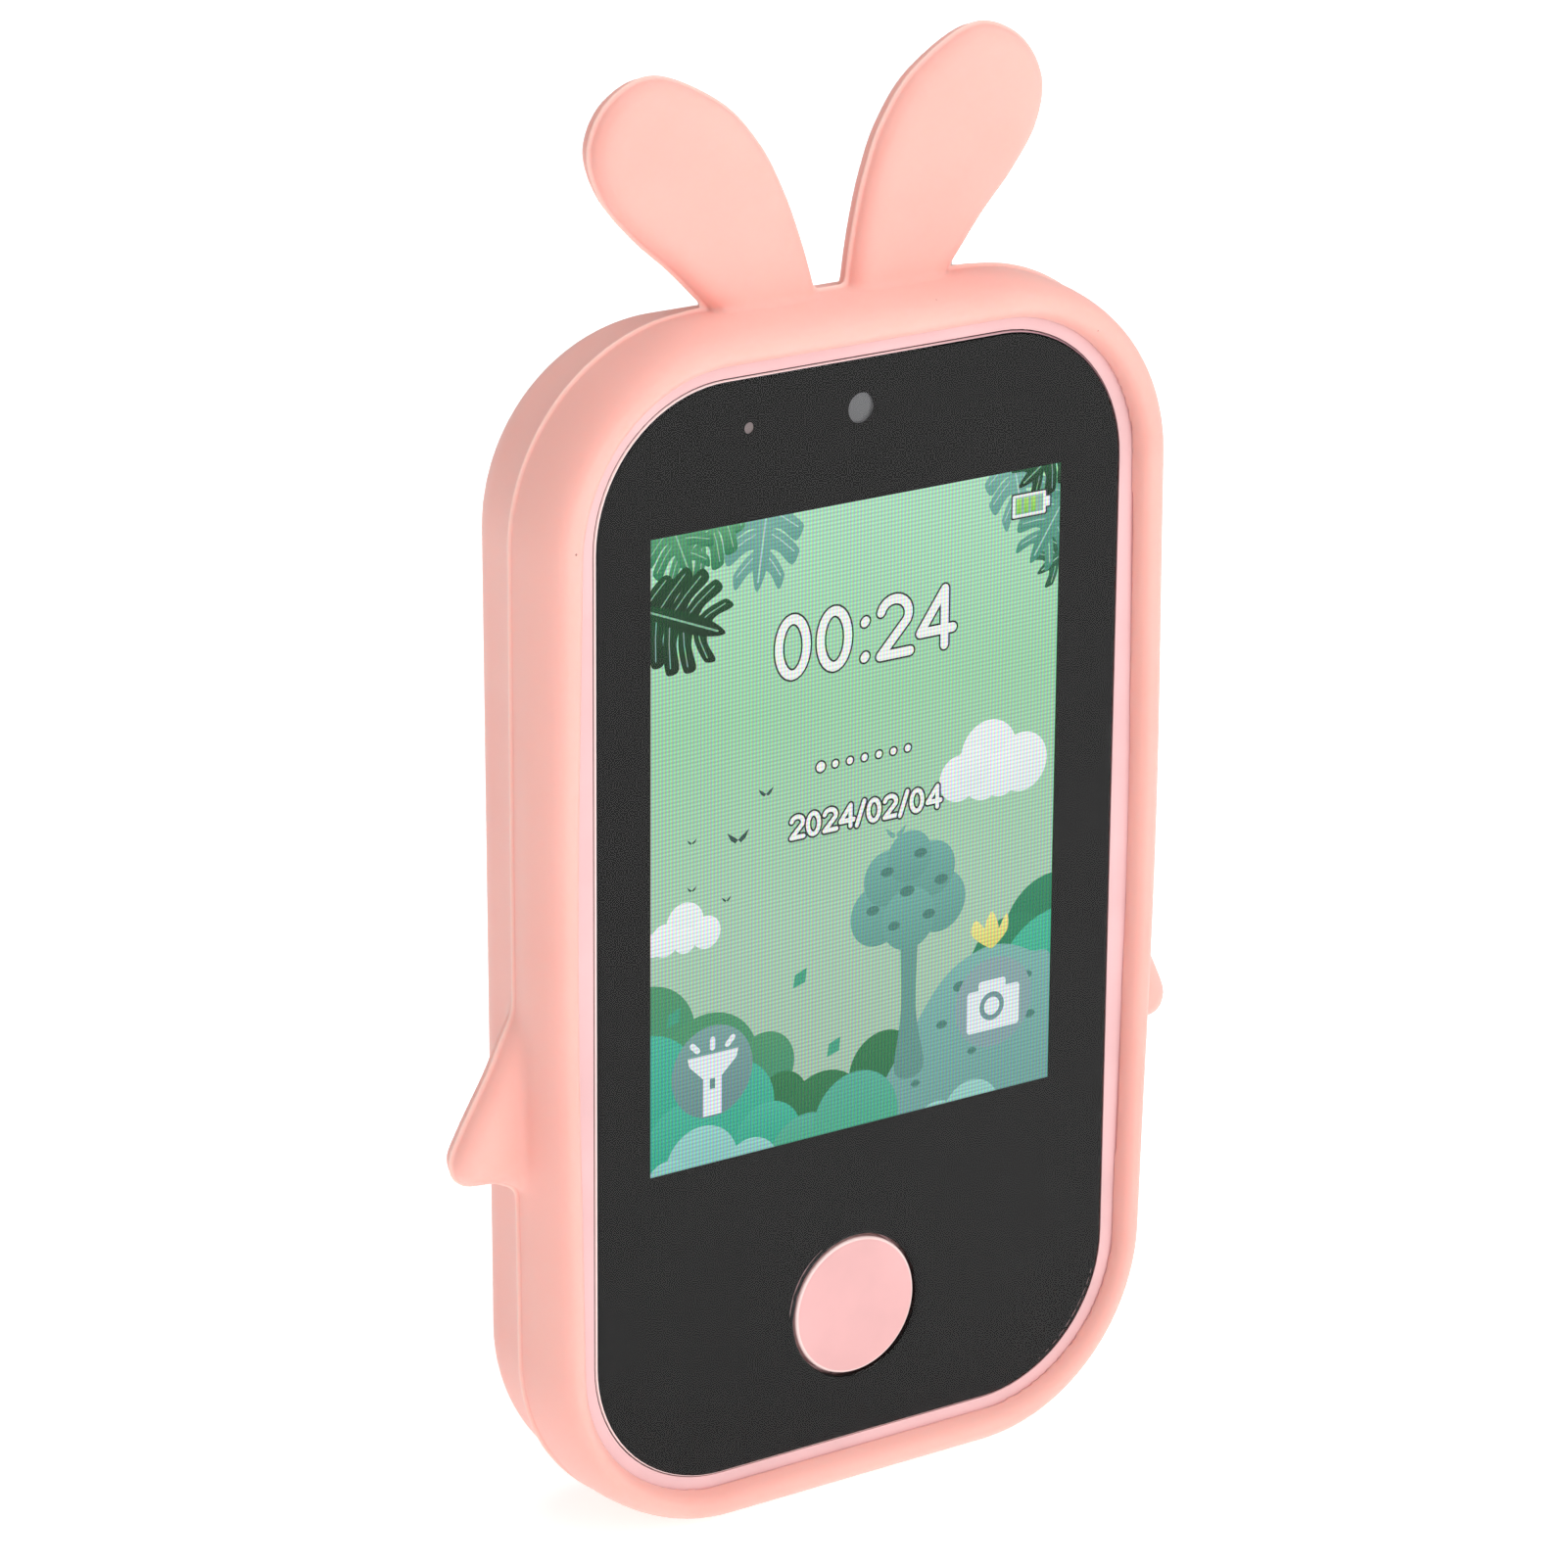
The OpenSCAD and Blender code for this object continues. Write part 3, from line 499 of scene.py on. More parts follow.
print("stage: rigid pieces")
rigidLooks = {
    # slot: material, colour, metallic, roughness, grain in mm, grain depth, clear share
    "shell_pink": ("abs_pink_injection_moulded", "#E9BDBE", 0.0, 0.36, 0.25, 0.05, 0),     # satin
    "button_pink": ("abs_pink_polished_cap", "#E6AFAE", 0.0, 0.30, 0.4, 0.02, 0),          # smoother
    "ink_black": ("ink_black_screen_printed", "#070606", 0.0, 0.8, 3.0, 0.0, 0),           # flat black
    "tape_white": ("tape_white_die_cut", "#E4E2DC", 0.0, 0.7, 0.5, 0.1, 0),                # like paper
    "touch_glass": ("glass_touch_coated", "#D8DEDE", 0.0, 0.1, 1.0, 0.0, 0.6),             # faint grey
    "flex_orange": ("polyimide_orange_rolled", "#C07A2A", 0.0, 0.35, 0.6, 0.05, 0.15),     # amber film
    "lcd_green": ("glass_lcd_laminated", "#7FAE98", 0.0, 0.15, 1.0, 0.0, 0.2),             # looks wet
    "tin_steel": ("steel_tin_plated_stamped", "#C9C8C6", 1.0, 0.32, 0.3, 0.05, 0),         # soft sheen
    "foam_grey": ("foam_grey_die_cut", "#3B3B3D", 0.0, 0.95, 0.35, 0.6, 0),                # open pores
    "camera_black": ("polycarbonate_black_moulded", "#141415", 0.0, 0.42, 0.3, 0.05, 0),   # fine matt
    "lens_smoke": ("glass_smoke_polished", "#6C6D70", 0.0, 0.06, 2.0, 0.0, 0.35),          # half clear
    "light_pipe_clear": ("acrylic_frosted_turned", "#96807F", 0.0, 0.3, 0.4, 0.05, 0.3),   # milky pin
    "chip_white": ("ceramic_white_led_body", "#EEE6B8", 0.0, 0.5, 0.3, 0.05, 0),           # yellowish
    "board_green": ("fibreglass_green_solder_masked", "#1B6A3E", 0.0, 0.3, 0.8, 0.1, 0),   # lacquered
    "chip_black": ("epoxy_black_moulded", "#1B1B1C", 0.0, 0.6, 0.2, 0.1, 0),               # dull resin
    "battery_foil": ("aluminium_foil_laminated", "#C6C8CC", 0.9, 0.38, 1.2, 0.2, 0),       # crinkled
    "socket_white": ("nylon_white_moulded", "#E9E6DC", 0.0, 0.45, 0.4, 0.05, 0),           # waxy
    "wire_red": ("pvc_red_extruded", "#A3221E", 0.0, 0.4, 0.4, 0.05, 0),                   # soft shine
    "window_white": ("polycarbonate_frosted_window", "#E9E7DA", 0.0, 0.25, 0.5, 0.03, 0.3),   # milky
    "screw_steel": ("steel_zinc_plated_headed", "#A9ABAF", 1.0, 0.3, 0.2, 0.05, 0),        # bright
    "plunger_black": ("acetal_black_moulded", "#1C1C1C", 0.0, 0.4, 0.3, 0.03, 0),          # slick
    "card_black": ("abs_black_textured_card", "#19191B", 0.0, 0.55, 0.15, 0.15, 0),        # fine grain
}
blotchSize = 8.333        # mm across one patch of tone
softEdges = {             # mm that each moulded edge is rounded over
    "front_frame": 0.14, "rear_cover": 0.2, "power_button": 0.35, "volume_up_button": 0.35,
    "volume_down_button": 0.35, "memory_card": 0.15, "rear_camera_window": 0.12,
    "flash_window": 0.12, "battery": 0.4, "shield_can": 0.15,
}


def rigidMaterial(name, colour, metallic, roughness, grainSize, grainDepth, clear):
    mat = newMaterial(name)
    where = add(mat, "ShaderNodeTexCoord").outputs["Object"]
    blotch = add(mat, "ShaderNodeTexNoise", None, {"Vector": where, "Scale": 1000 / blotchSize, "Detail": 4})
    fine = add(mat, "ShaderNodeTexNoise", None, {"Vector": where, "Scale": 1000 / grainSize, "Detail": 2})
    base = linear(colour)
    shade = tuple(c * 0.9 for c in base[:3]) + (1,)
    tone = setRamp(add(mat, "ShaderNodeValToRGB", None, {"Fac": blotch.outputs["Fac"]}),
                   [(0.3, shade), (0.62, base)])
    gloss = add(mat, "ShaderNodeMapRange", None, {
        "Value": fine.outputs["Fac"], "To Min": roughness * 0.88, "To Max": roughness * 1.12})
    relief = add(mat, "ShaderNodeBump", None, {
        "Height": fine.outputs["Fac"], "Strength": grainDepth, "Distance": 0.00005})
    surface = add(mat, "ShaderNodeBsdfPrincipled", None, {
        "Base Color": tone,
        "Metallic": metallic,
        "Roughness": gloss.outputs["Result"],
        "Normal": relief.outputs["Normal"],
        "IOR": 1.5,
        "Transmission Weight": clear,
        "Specular IOR Level": 0.0 if name.startswith("ink") else 0.5,   # ink lies against the pane
    })
    return output(mat, surface.outputs["BSDF"])


materialOf = {slot: rigidMaterial(*look) for slot, look in rigidLooks.items()}
for obj in nodes.values():
    slot = obj.data.materials[0].name.split(".")[0] if obj.data.materials else ""
    if slot in materialOf:
        obj.data.materials.clear()
        obj.data.materials.append(materialOf[slot])

for nodeName, width in softEdges.items():
    weld = nodes[nodeName].modifiers.new("weld", "WELD")
    weld.merge_threshold = 0.000002
    edge = nodes[nodeName].modifiers.new("edge", "BEVEL")
    edge.width = width * mm
    edge.segments = 3
    edge.limit_method = "ANGLE"
    edge.angle_limit = math.radians(40)
    edge.harden_normals = False

print("stage: pane and home button")
capLow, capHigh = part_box("home_button")
pane = {
    "front": lensLow.y / mm,
    "thick": 1.13,        # to just inside the print, so no air lies between them
    "width": (lensHigh.x - lensLow.x) / mm,
    "height": (lensHigh.z - lensLow.z) / mm,
    "corner": 13.2,
    "edge": 0.28,         # ground and polished edge
    "holeEdge": 0.16,
    "perCorner": 20,
    "perSide": 8,
    "smear": 11.11,       # mm across one patch of wiping marks
}
button = {
    "front": capLow.y / mm,
    "back": capHigh.y / mm,
    "up": (capLow.z + capHigh.z) / 2 / mm,
    "flange": (capHigh.x - capLow.x) / 2 / mm,
    "flangeOut": 1.1,     # how far the hidden flange stands out round the cap
    "flangeThick": 0.8,
    "gap": 0.25,
    "points": 112,
}


def roundedLoop(w, h, r):
    sides = [(1, 1), (-1, 1), (-1, -1), (1, -1)]
    starts = [(w / 2, h / 2 - r), (-(w / 2 - r), h / 2), (-w / 2, -(h / 2 - r)), (w / 2 - r, -h / 2)]
    points = []
    for quarter, (sx, sz) in enumerate(sides):
        for i in range(pane["perCorner"] + 1):
            a = math.pi / 2 * (quarter + i / pane["perCorner"])
            points.append((sx * (w / 2 - r) + r * math.cos(a), sz * (h / 2 - r) + r * math.sin(a)))
        (x0, z0), (x1, z1) = points[-1], starts[(quarter + 1) % 4]
        for i in range(1, pane["perSide"]):
            t = i / pane["perSide"]
            points.append((x0 + (x1 - x0) * t, z0 + (z1 - z0) * t))
    return points


def ringMesh(name, rings, material, closed=True):   # rings joined in order, into a hoop or a capped plug
    n, count = len(rings[0]), len(rings)
    faces = []
    for k in range(count if closed else count - 1):
        a, b = k * n, ((k + 1) % count) * n
        faces += [(a + i, a + (i + 1) % n, b + (i + 1) % n, b + i) for i in range(n)]
    if not closed:
        faces += [tuple(range(n))[::-1], tuple(range((count - 1) * n, count * n))]
    return buildMesh(name, np.array([p for ring in rings for p in ring]) * mm, faces, material)


def paneRing(inset, y):
    inset += 0.01
    loop = roundedLoop(pane["width"] - 2 * inset, pane["height"] - 2 * inset, pane["corner"] - inset)
    return [(midX + x, y, midZ + z) for x, z in loop]


def holeRing(radius, y):
    turns = [math.atan2(z - (button["up"] - midZ), x)
             for x, z in roundedLoop(pane["width"], pane["height"], pane["corner"])]
    return [(midX + radius * math.cos(a), y, button["up"] + radius * math.sin(a)) for a in turns]


def paneRings():
    front, back = pane["front"], pane["front"] + pane["thick"]
    e, h = pane["edge"], pane["holeEdge"]
    hole = button["flange"] - button["flangeOut"] + button["gap"]
    outer = [(e + 0.35, front), (e + 0.02, front), (e * 0.4, front + e * 0.12), (e * 0.12, front + e * 0.4),
             (0, front + e), (0, back - 0.08), (0.08, back), (0.4, back)]
    inner = [(hole + 0.4, back), (hole + 0.05, back), (hole, back - 0.05), (hole, front + h),
             (hole + h * 0.3, front + h * 0.3), (hole + h, front), (hole + h + 0.3, front)]
    return [paneRing(*ring) for ring in outer] + [holeRing(*ring) for ring in inner]


def glassTempered():   # hard, clean reflections over the black print
    mat = newMaterial("glass_clear_tempered")
    where = add(mat, "ShaderNodeTexCoord").outputs["Object"]
    smear = add(mat, "ShaderNodeTexNoise", None, {
        "Vector": where, "Scale": 1000 / pane["smear"], "Detail": 5})
    gloss = add(mat, "ShaderNodeMapRange", None,
                {"Value": smear.outputs["Fac"], "To Min": 0.0, "To Max": 0.015})
    surface = add(mat, "ShaderNodeBsdfPrincipled", None, {
        "Base Color": (1, 1, 1, 1),
        "Roughness": gloss.outputs["Result"],
        "IOR": 1.33,
        "Transmission Weight": 1.0,
    })
    return output(mat, surface.outputs["BSDF"])


def glassGroundEdgePaintedLight():   # frosted rim with painted light: a painted highlight on its left fading to a painted plum shade on its right
    mat = newMaterial("glass_edge_ground_painted_light")
    where = add(mat, "ShaderNodeTexCoord").outputs["Object"]
    apart = add(mat, "ShaderNodeSeparateXYZ", None, {"Vector": where})
    leftToRightShade = add(mat, "ShaderNodeMapRange", None, {
        "Value": apart.outputs["X"], "From Min": -0.027, "From Max": 0.0275})
    # painted highlight on the left of the rim and painted shade on the right, set by X alone
    stops = [(0.0, "#FFF4F2"), (0.6, "#F3DADC"), (0.93, "#8F6A7C"), (1.0, "#4A2C40")]
    tone = setRamp(add(mat, "ShaderNodeValToRGB", None, {"Fac": leftToRightShade.outputs["Result"]}),
                   [(position, linear(colour)) for position, colour in stops])
    surface = add(mat, "ShaderNodeBsdfPrincipled", None, {"Base Color": tone, "Roughness": 0.3, "IOR": 1.5})
    return output(mat, surface.outputs["BSDF"])


def edgeMaterial(piece, material, facesPerRing, firstRing, lastRing):
    piece.data.materials.append(material)
    for face in piece.data.polygons[firstRing * facesPerRing:lastRing * facesPerRing]:
        face.material_index = 1


rings = paneRings()
panePiece = ringMesh("cover_glass", rings, glassTempered())
edgeMaterial(panePiece, glassGroundEdgePaintedLight(), len(rings[0]), 2, 4)
place(panePiece, "phone")
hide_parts("cover_lens")


def capRing(radius, y):
    turns = [2 * math.pi * i / button["points"] for i in range(button["points"])]
    return [(midX + radius * math.cos(a), y, button["up"] + radius * math.sin(a)) for a in turns]


def capRings():
    front, back, flange = button["front"], button["back"], button["flange"]
    r, step = flange - button["flangeOut"], back - button["flangeThick"]
    profile = [(r - 0.6, front), (r - 0.26, front + 0.01), (r - 0.1, front + 0.08), (r - 0.02, front + 0.2),
               (r, front + 0.34), (r, step - 0.05), (r + 0.1, step), (flange - 0.1, step),
               (flange, step + 0.1), (flange, back - 0.1), (flange - 0.1, back), (flange - 0.5, back)]
    return [capRing(*ring) for ring in profile]


capPiece = ringMesh("home_button_cap", capRings(), materialOf["button_pink"], False)
capRimHighlight = rigidMaterial("abs_pink_polished_rim_painted_highlight", "#F8DAD6", 0.0, 0.16, 0.4, 0.02, 0)   # painted highlight: the cap's thin bevel is painted paler than the cap
edgeMaterial(capPiece, capRimHighlight, button["points"], 1, 3)
place(capPiece, "home_button")
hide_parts("home_button")

print("stage: picture")
picture = {
    "width": 43.2,
    "height": 57.6,
    "up": 8.3,            # above the middle of the pane
    "cell": 0.36,         # drawn twice as coarse as the real ones, so that they show
    "columns": 0.3,       # how strongly the colour columns show
    "rows": 0.14,
    "layer": 0.00012,     # each shape lies this far in front of the last
    "glow": 0.97,
    "y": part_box("lens_mask")[0].y / mm + 0.1,
}
figureLight, figureDark = "#EDF3EE", "#1F2B26"
signWhite = "#DCE6EA"
shapes = []   # outline, colour at the bottom, colour at the top


def clipTo(points, width, height):
    for axis, limit, sign in ((0, 0, 1), (0, width, -1), (1, 0, 1), (1, height, -1)):
        out = []
        for p, q in zip(points, points[1:] + points[:1]):
            pin, qin = (sign * (point[axis] - limit) >= 0 for point in (p, q))
            if pin:
                out.append(p)
            if pin != qin:
                t = (limit - p[axis]) / (q[axis] - p[axis])
                out.append((p[0] + (q[0] - p[0]) * t, p[1] + (q[1] - p[1]) * t))
        points = out
        if not points:
            break
    return points


def paint(points, low, high=None):
    points = clipTo([tuple(p) for p in points], picture["width"], picture["height"])
    if len(points) > 2:
        shapes.append((points, low, high or low))


def curved(points, low, high=None):
    paint(closedCurve(points, 5), low, high)


def arc(u, v, ru, rv, start, stop, count=14):
    turns = np.radians(np.linspace(start, stop, count))
    return [(u + ru * math.cos(a), v + rv * math.sin(a)) for a in turns]


def disc(u, v, radius, low, high=None, tall=1.0, count=40):
    paint(arc(u, v, radius, radius * tall, 0, 360, count + 1)[:-1], low, high)


def discs(circles, low, high=None, tall=1.0, count=40):
    for u, v, radius in circles:
        disc(u, v, radius, low, high, tall, count)


def stroke(path, width, colour):
    pts = [Vector(p) for p in path]
    for a, b in zip(pts, pts[1:]):
        if (b - a).length > 1e-6:
            side = (b - a).normalized().orthogonal() * width / 2
            paint([a + side, a - side, b - side, b + side], colour)
    for p in pts:
        disc(p.x, p.y, width / 2, colour, count=12)


def block(u0, v0, u1, v1, low, high=None, r=0.0):
    if r:
        corners = ((u1 - r, v1 - r, 0), (u0 + r, v1 - r, 90), (u0 + r, v0 + r, 180), (u1 - r, v0 + r, 270))
        paint([p for u, v, start in corners for p in arc(u, v, r, r, start, start + 90, 6)], low, high)
    else:
        paint([(u0, v0), (u1, v0), (u1, v1), (u0, v1)], low, high)


def splitLeaf(u, v, length, turn, low, high, vein, fingers=5, broad=0.5):
    ahead = Vector((math.cos(math.radians(turn)), math.sin(math.radians(turn))))
    aside = Vector((-ahead.y, ahead.x))

    def at(along, out):
        return tuple(Vector((u, v)) + ahead * along * length + aside * out * length)

    for side in (-1, 1):
        for k in range(fingers):
            a, b = 0.9 * k / fingers, 0.9 * (k + 0.8) / fingers
            reach = side * broad * math.sin(math.pi * (0.2 + 0.68 * (k + 0.4) / fingers))
            sweep = 0.1 + 0.16 * (k + 1) / fingers     # fingers lean towards the tip
            outline = [(a, 0), (a - 0.02 + sweep * 0.4, reach * 0.5), (a + sweep - 0.01, reach * 0.92),
                       (a + sweep + 0.07, reach), (b + sweep + 0.02, reach * 0.84),
                       (b + sweep * 0.4, reach * 0.42), (b + 0.03, 0)]
            curved([at(*p) for p in outline], low, high)
            stroke([at(a + 0.03, 0), at(a + 0.05 + sweep * 0.4, reach * 0.45),
                    at(a + 0.05 + sweep, reach * 0.86)], length * 0.014, vein)
    curved([at(0, -0.05), at(0.75, -0.11), at(1.16, 0), at(0.75, 0.11), at(0, 0.05)], low, high)
    stroke([at(-0.05, 0), at(1.05, 0)], length * 0.022, vein)


def bird(u, v, span, colour):
    for side in (-1, 1):
        paint([(u, v), (u + side * span * 0.28, v + span * 0.2), (u + side * span * 0.5, v + span * 0.34),
               (u + side * span * 0.34, v + span * 0.02), (u + side * span * 0.12, v - span * 0.14)], colour)


def skyAndLeaves():   # the sky is a little greener at the top
    for v0, v1, low, high in ((0, 20, "#9FBBA7", "#A3C7AF"), (20, 40, "#A3C7AF", "#9ACEA8"),
                              (40, picture["height"], "#9ACEA8", "#AADABC")):
        block(0, v0, picture["width"], v1, low, high)
    splitLeaf(12.2, 60.4, 8.0, 262, "#5F9C90", "#77AFA1", "#A9CFC3", 4, 0.52)
    splitLeaf(8.6, 60.0, 6.6, 222, "#277951", "#5CA275", "#93C6A6", 4, 0.56)
    splitLeaf(1.2, 61.0, 7.0, 292, "#277951", "#549C70", "#8ABF9D", 5, 0.54)
    splitLeaf(-0.9, 51.6, 8.0, 338, "#082811", "#0F4A26", "#7FB494", 5, 0.6)
    splitLeaf(46.2, 50.6, 5.2, 208, "#1C4F35", "#33775A", "#8FC0A8", 4, 0.56)
    splitLeaf(37.6, 60.6, 7.2, 282, "#5F9C90", "#77AFA1", "#A9CFC3", 4, 0.48)
    splitLeaf(45.0, 56.2, 7.6, 236, "#3F8A74", "#63A08D", "#9CCABA", 5, 0.5)
    splitLeaf(44.6, 60.0, 6.2, 214, "#082811", "#1C5636", "#7FB494", 4, 0.5)


def cloudsAndBirds():
    discs([(35.9, 32.2, 3.05), (32.7, 30.4, 2.15), (39.6, 30.7, 2.75), (35.4, 30.1, 2.2), (37.3, 30.0, 2.1),
           (34.2, 31.2, 2.0)], "#DCE7E8", "#E9F1F1")
    discs([(3.6, 22.7, 1.95), (1.5, 21.6, 1.5), (5.8, 21.5, 1.5), (3.6, 21.2, 1.2), (0.4, 21.4, 1.1)],
          "#DCE7E8", "#E9F1F1")
    for u, v, span in ((12.0, 32.9, 1.6), (4.3, 29.9, 1.0), (9.1, 29.3, 2.3), (4.3, 25.6, 1.0),
                       (7.9, 24.0, 1.0)):
        bird(u, v, span, "#2F4F47")
    bird(25.9, 26.5, 2.3, "#6FA79B")


def hillsAndTree():
    discs([(43.4, 14.0, 5.6), (39.0, 11.5, 5.0)], "#18714D", "#2C845F")
    discs([(44.2, 9.0, 7.2), (38.0, 6.5, 5.6)], "#279F80", "#43B394")
    discs([(-0.4, 12.6, 5.1), (6.0, 8.6, 5.4), (12.0, 7.8, 3.2)], "#3E8C6C", "#4A9268")
    discs([(13.9, 4.2, 2.7), (18.4, 1.4, 4.6), (24.9, 4.6, 3.8)], "#226C45", "#2F774A")
    # a round tree beside a soft mound, where the lawn rises to the right
    curved([(22.0, -6), (24.2, 2.0), (27.5, 7.0), (31.0, 11.6), (34.4, 13.6), (37.8, 13.9), (41, 12.6),
            (43.8, 10.4), (46, -6)], "#6C9F99", "#79B0A8")
    curved([(26.1, 4), (26.7, 10), (26.6, 20), (28.4, 20), (28.3, 10), (29.2, 4)], "#5C8F86", "#659A90")
    discs([(27.4, 21.3, 3.9), (24.0, 19.4, 2.9), (30.7, 19.4, 2.9), (25.1, 22.6, 2.6), (29.8, 22.6, 2.6),
           (27.4, 24.2, 2.4), (27.4, 18.4, 2.9)], "#5F998E", "#6FAAA0")
    discs([(25.0, 23.2, 0.7), (28.6, 24.3, 0.7), (30.9, 21.4, 0.75), (23.5, 19.9, 0.7), (27.2, 21.0, 0.8),
           (29.6, 18.4, 0.7), (25.8, 18.0, 0.65), (33.2, 10.8, 0.8), (31.2, 7.6, 0.6), (41.0, 6.6, 0.6),
           (40.6, 10.4, 0.6), (34.6, 4.4, 0.5), (28.4, 2.6, 0.5)], "#487F74", tall=0.62, count=20)
    for turn in (60, 90, 122):   # yellow blossom
        c, s = math.cos(math.radians(turn)), math.sin(math.radians(turn))
        curved([(36.6, 13.7), (36.6 + 2.9 * c - 0.8 * s, 13.9 + 1.7 * s), (36.6 + 3.3 * c, 13.7 + 3.5 * s),
                (36.6 + 2.0 * c + 0.8 * s, 13.9 + 1.4 * s)], "#D2CC6E", "#E6E08E")


def nearBushes():
    discs([(-0.6, 7.6, 5.6), (8.4, 4.4, 4.7), (3.6, 2.0, 4.2), (12.4, 0.8, 3.6)], "#29A285", "#45B097")
    discs([(16.6, -1.8, 4.2), (21.9, 0.6, 4.6)], "#47A486", "#52A993")
    discs([(34.6, -1.6, 3.2), (30.8, -2.2, 2.6)], "#8EC4BC", "#97C9C2")
    discs([(5.4, -0.2, 3.85), (10.6, -1.6, 3.0), (1.9, -1.4, 2.6)], "#86BFBA", "#93CBC5")
    for u, v in ((15.7, 15.1), (19.4, 7.9), (2.4, 14.2)):   # drifting leaves
        paint([(u - 0.7, v - 0.7), (u - 0.5, v + 0.5), (u + 0.75, v + 0.95), (u + 0.6, v - 0.35)], "#3F9C7E")


figures = {   # how far on the next one starts, and strokes in a box one high
    "0": (0.78, [arc(0.3, 0.5, 0.26, 0.45, 0, 360, 24)]),
    "2": (0.76, [arc(0.3, 0.7, 0.27, 0.25, 165, -28, 11) + [(0.03, 0.06), (0.6, 0.06)]]),
    "4": (0.8, [[(0.5, 0.04), (0.5, 0.95), (0.03, 0.3), (0.66, 0.3)]]),
    "/": (0.5, [[(0.0, 0.0), (0.34, 1.0)]]),
    ":": (0.36, [[(0.09, 0.09), (0.11, 0.11)], [(0.09, 0.66), (0.11, 0.68)]]),
}


def write(text, u, v, tall, width, stretch=1.0, rim=0.17):
    for sign in text:
        advance, strokes = figures[sign]
        paths = [[(u + p[0] * tall * stretch, v + p[1] * tall) for p in path] for path in strokes]
        for wide, colour in ((width + 2 * rim, figureDark), (width, figureLight)):
            for path in paths:
                stroke(path, wide, colour)
        u += advance * tall * stretch


def timeAndDate():   # plain figures, and seven dots for the days of the week
    write("00:24", 13.0, 42.85, 5.6, 0.84)
    write("2024/02/04", 14.6, 28.2, 2.1, 0.42, 1.08)
    for k in range(7):
        size = 0.62 if k == 0 else 0.48
        disc(17.7 + 1.55 * k, 34.3, size, figureDark, count=20)
        disc(17.7 + 1.55 * k, 34.3, size - 0.16, figureLight, count=20)


def signs():   # battery, torch and camera
    block(37.8, 53.15, 41.75, 55.5, "#2C3A34", r=0.2)
    block(41.5, 53.75, 42.2, 54.95, "#2C3A34", r=0.15)
    block(37.95, 53.3, 41.6, 55.35, "#E9F0EC", r=0.15)
    block(41.55, 53.9, 42.05, 54.8, "#E9F0EC")
    block(38.25, 53.55, 41.3, 55.1, "#8CB5A5")
    for u in (38.4, 39.2, 40.0):
        block(u, 53.65, u + 0.5, 55.0, "#7FC64F", "#A9DC6A")
    disc(6.45, 8.55, 4.25, "#648A8A", "#759F9B", count=64)
    disc(36.85, 8.6, 4.25, "#7F9FA2", "#86A5A6", count=64)
    paint([(3.85, 10.2), (9.2, 10.2), (9.0, 9.4), (7.45, 8.0), (7.45, 4.5), (5.5, 4.5), (5.5, 8.0),
           (4.05, 9.4)], signWhite)
    block(6.2, 6.95, 6.75, 7.9, "#648A8A")
    for path in ([(6.48, 10.75), (6.48, 11.5)], [(4.9, 10.75), (4.35, 11.3)], [(8.05, 10.75), (8.6, 11.3)]):
        stroke(path, 0.55, signWhite)
    block(33.95, 6.0, 39.75, 9.95, signWhite, r=0.35)
    block(35.2, 9.5, 38.2, 10.75, signWhite, r=0.3)
    disc(36.7, 8.25, 1.35, "#6F9295")
    disc(36.7, 8.25, 0.85, signWhite)


def layShapes():   # flat shapes, each just in front of the last, shaded from bottom to top
    verts, faces, colours = [], [], []
    left, bottom = midX - picture["width"] / 2, midZ + picture["up"] - picture["height"] / 2
    for order, (points, low, high) in enumerate(shapes):
        low, high = np.array(linear(low)), np.array(linear(high))
        heights = [v for _, v in points]
        span = max(max(heights) - min(heights), 1e-6)
        faces.append(tuple(range(len(verts), len(verts) + len(points))))
        verts += [((left + u) * mm, (picture["y"] - order * picture["layer"]) * mm, (bottom + v) * mm)
                  for u, v in points]
        colours += [low + (high - low) * (v - min(heights)) / span for v in heights]
    return verts, faces, colours


def wave(mat, along, late, swing, level):   # repeats once for each cell
    turns = add(mat, "ShaderNodeMath", {"operation": "MULTIPLY_ADD"},
                {0: along, 1: 2 * math.pi / (picture["cell"] * mm), 2: 2 * math.pi * late})
    sine = add(mat, "ShaderNodeMath", {"operation": "SINE"}, {0: turns.outputs[0]})
    return add(mat, "ShaderNodeMath", {"operation": "MULTIPLY_ADD"},
               {0: sine.outputs[0], 1: swing, 2: level}).outputs[0]


def lcdLit():   # glowing picture, woven from red, green and blue columns and from rows
    mat = newMaterial("lcd_lit_cells")
    where = add(mat, "ShaderNodeTexCoord").outputs["Object"]
    split = add(mat, "ShaderNodeSeparateXYZ", None, {"Vector": where})
    tints = [wave(mat, split.outputs["X"], late, picture["columns"], 1.0) for late in (0.0, 0.33, 0.67)]
    columns = add(mat, "ShaderNodeCombineXYZ", None, {"X": tints[0], "Y": tints[1], "Z": tints[2]})
    woven = add(mat, "ShaderNodeMix", {"data_type": "RGBA", "blend_type": "MULTIPLY"}, {
        "Factor": 1.0,
        6: add(mat, "ShaderNodeVertexColor", {"layer_name": "paint"}).outputs["Color"],
        7: columns.outputs["Vector"],
    })
    rows = wave(mat, split.outputs["Z"], 0.0, picture["rows"], picture["glow"])
    light = add(mat, "ShaderNodeEmission", None, {"Color": woven.outputs[2], "Strength": rows})
    return output(mat, light.outputs["Emission"])


skyAndLeaves()
cloudsAndBirds()
hillsAndTree()
nearBushes()
timeAndDate()
signs()
pictureVerts, pictureFaces, pictureColours = layShapes()
picturePiece = buildMesh("display_picture", pictureVerts, pictureFaces, lcdLit(), False, False)
paintLayer = picturePiece.data.color_attributes.new("paint", "FLOAT_COLOR", "POINT")
paintLayer.data.foreach_set("color", np.array(pictureColours, np.float32).ravel())
place(picturePiece, "phone")

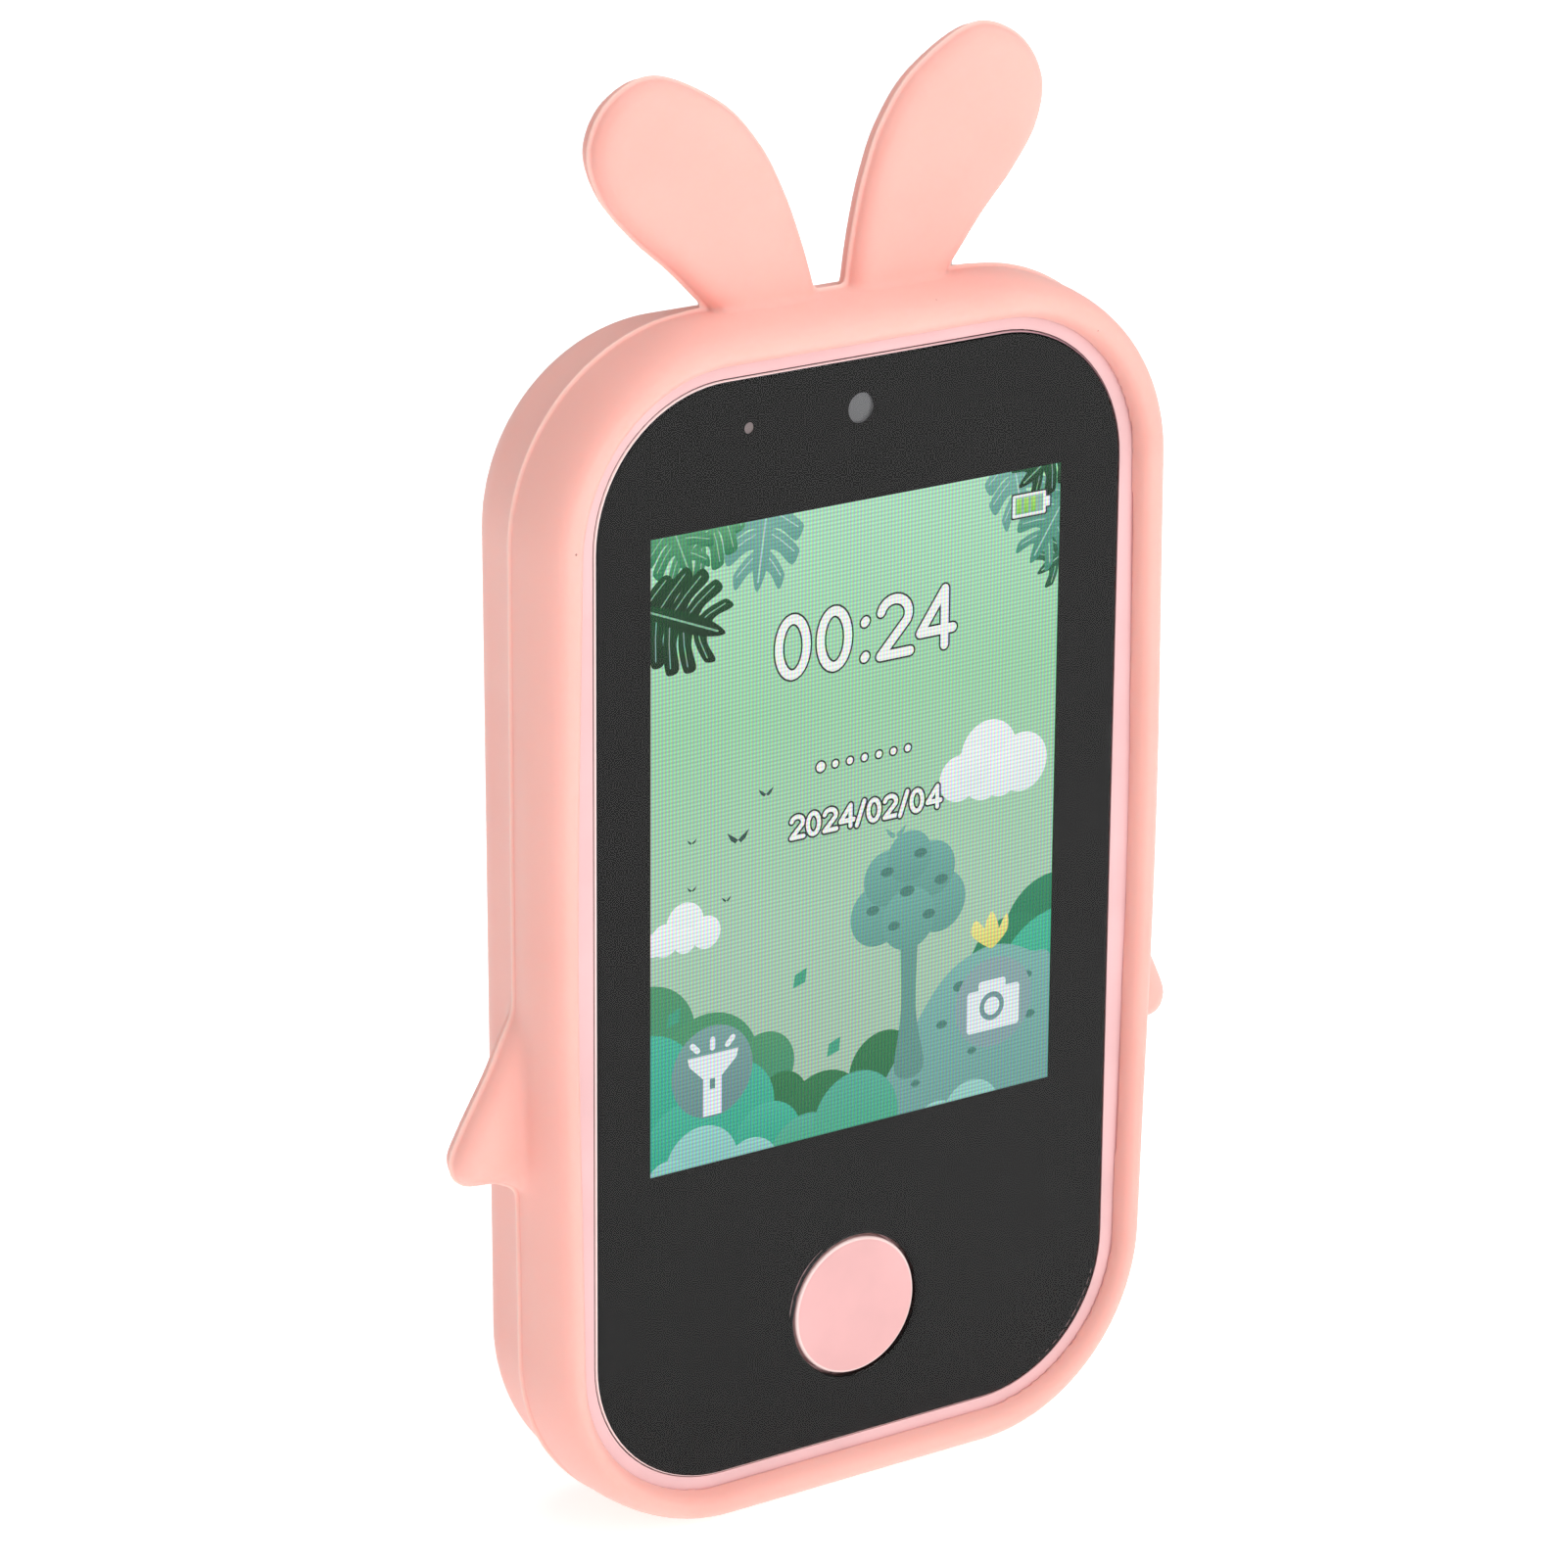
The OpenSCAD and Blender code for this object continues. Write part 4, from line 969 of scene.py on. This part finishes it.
print("stage: camera and light")
view = {
    "from": (-0.308287, -0.431546, 0.24439),
    "heading": -35.2139,
    "down": 18.7462,
    "roll": 0.4465,
    "lens": 146.8,
    "sensor": 36,
}
studio = {
    "floor": "#F7F7F7",
    "floorGlow": 0.52,
    "floorHalf": 6.0,
    "sky": 0.38,
    "target": (0, 0, 0.06),
    "lamps": {            # place, width in metres, watts
        "key": ((0.35, -1.25, 0.75), 1.1, 8.0),
        "fill": ((-0.35, -1.3, 0.3), 0.7, 2.4),
        "top": ((0.1, -0.1, 1.2), 1.2, 7.0),
    },
}
camera = bpy.data.objects.new("camera", bpy.data.cameras.new("camera"))
scene.collection.objects.link(camera)
camera.data.lens = view["lens"]
camera.data.sensor_width = view["sensor"]
camera.data.clip_start = 0.01
camera.data.clip_end = 20
camera.matrix_world = (Matrix.Translation(view["from"])
                       @ Matrix.Rotation(math.radians(view["heading"]), 4, "Z")
                       @ Matrix.Rotation(math.radians(90 - view["down"]), 4, "X")
                       @ Matrix.Rotation(math.radians(view["roll"]), 4, "Z"))
scene.camera = camera


def paperWhite():   # plain and pale
    mat = newMaterial("floor_white_paper")
    surface = add(mat, "ShaderNodeBsdfPrincipled", None, {
        "Base Color": linear(studio["floor"]),
        "Roughness": 0.9,
        "Specular IOR Level": 0.0,
        "Emission Color": (1, 1, 1, 1),
        "Emission Strength": studio["floorGlow"],
    })
    return output(mat, surface.outputs["BSDF"])


half = studio["floorHalf"]
floorCorners = [(-half, -half, 0), (half, -half, 0), (half, half, 0), (-half, half, 0)]
buildMesh("floor", floorCorners, [(0, 1, 2, 3)], paperWhite(), False, False)

for name, (spot, width, watts) in studio["lamps"].items():
    lamp = bpy.data.lights.new(name, "AREA")
    lamp.energy = watts
    lamp.size = width
    lampObj = bpy.data.objects.new(name, lamp)
    lampObj.location = spot
    lampObj.rotation_euler = (Vector(spot) - Vector(studio["target"])).to_track_quat("Z", "Y").to_euler()
    scene.collection.objects.link(lampObj)
world = bpy.data.worlds.new("studio")
world.use_nodes = True
world.node_tree.nodes["Background"].inputs["Color"].default_value = (1, 1, 1, 1)
world.node_tree.nodes["Background"].inputs["Strength"].default_value = studio["sky"]
scene.world = world
scene.view_settings.view_transform = "Standard"
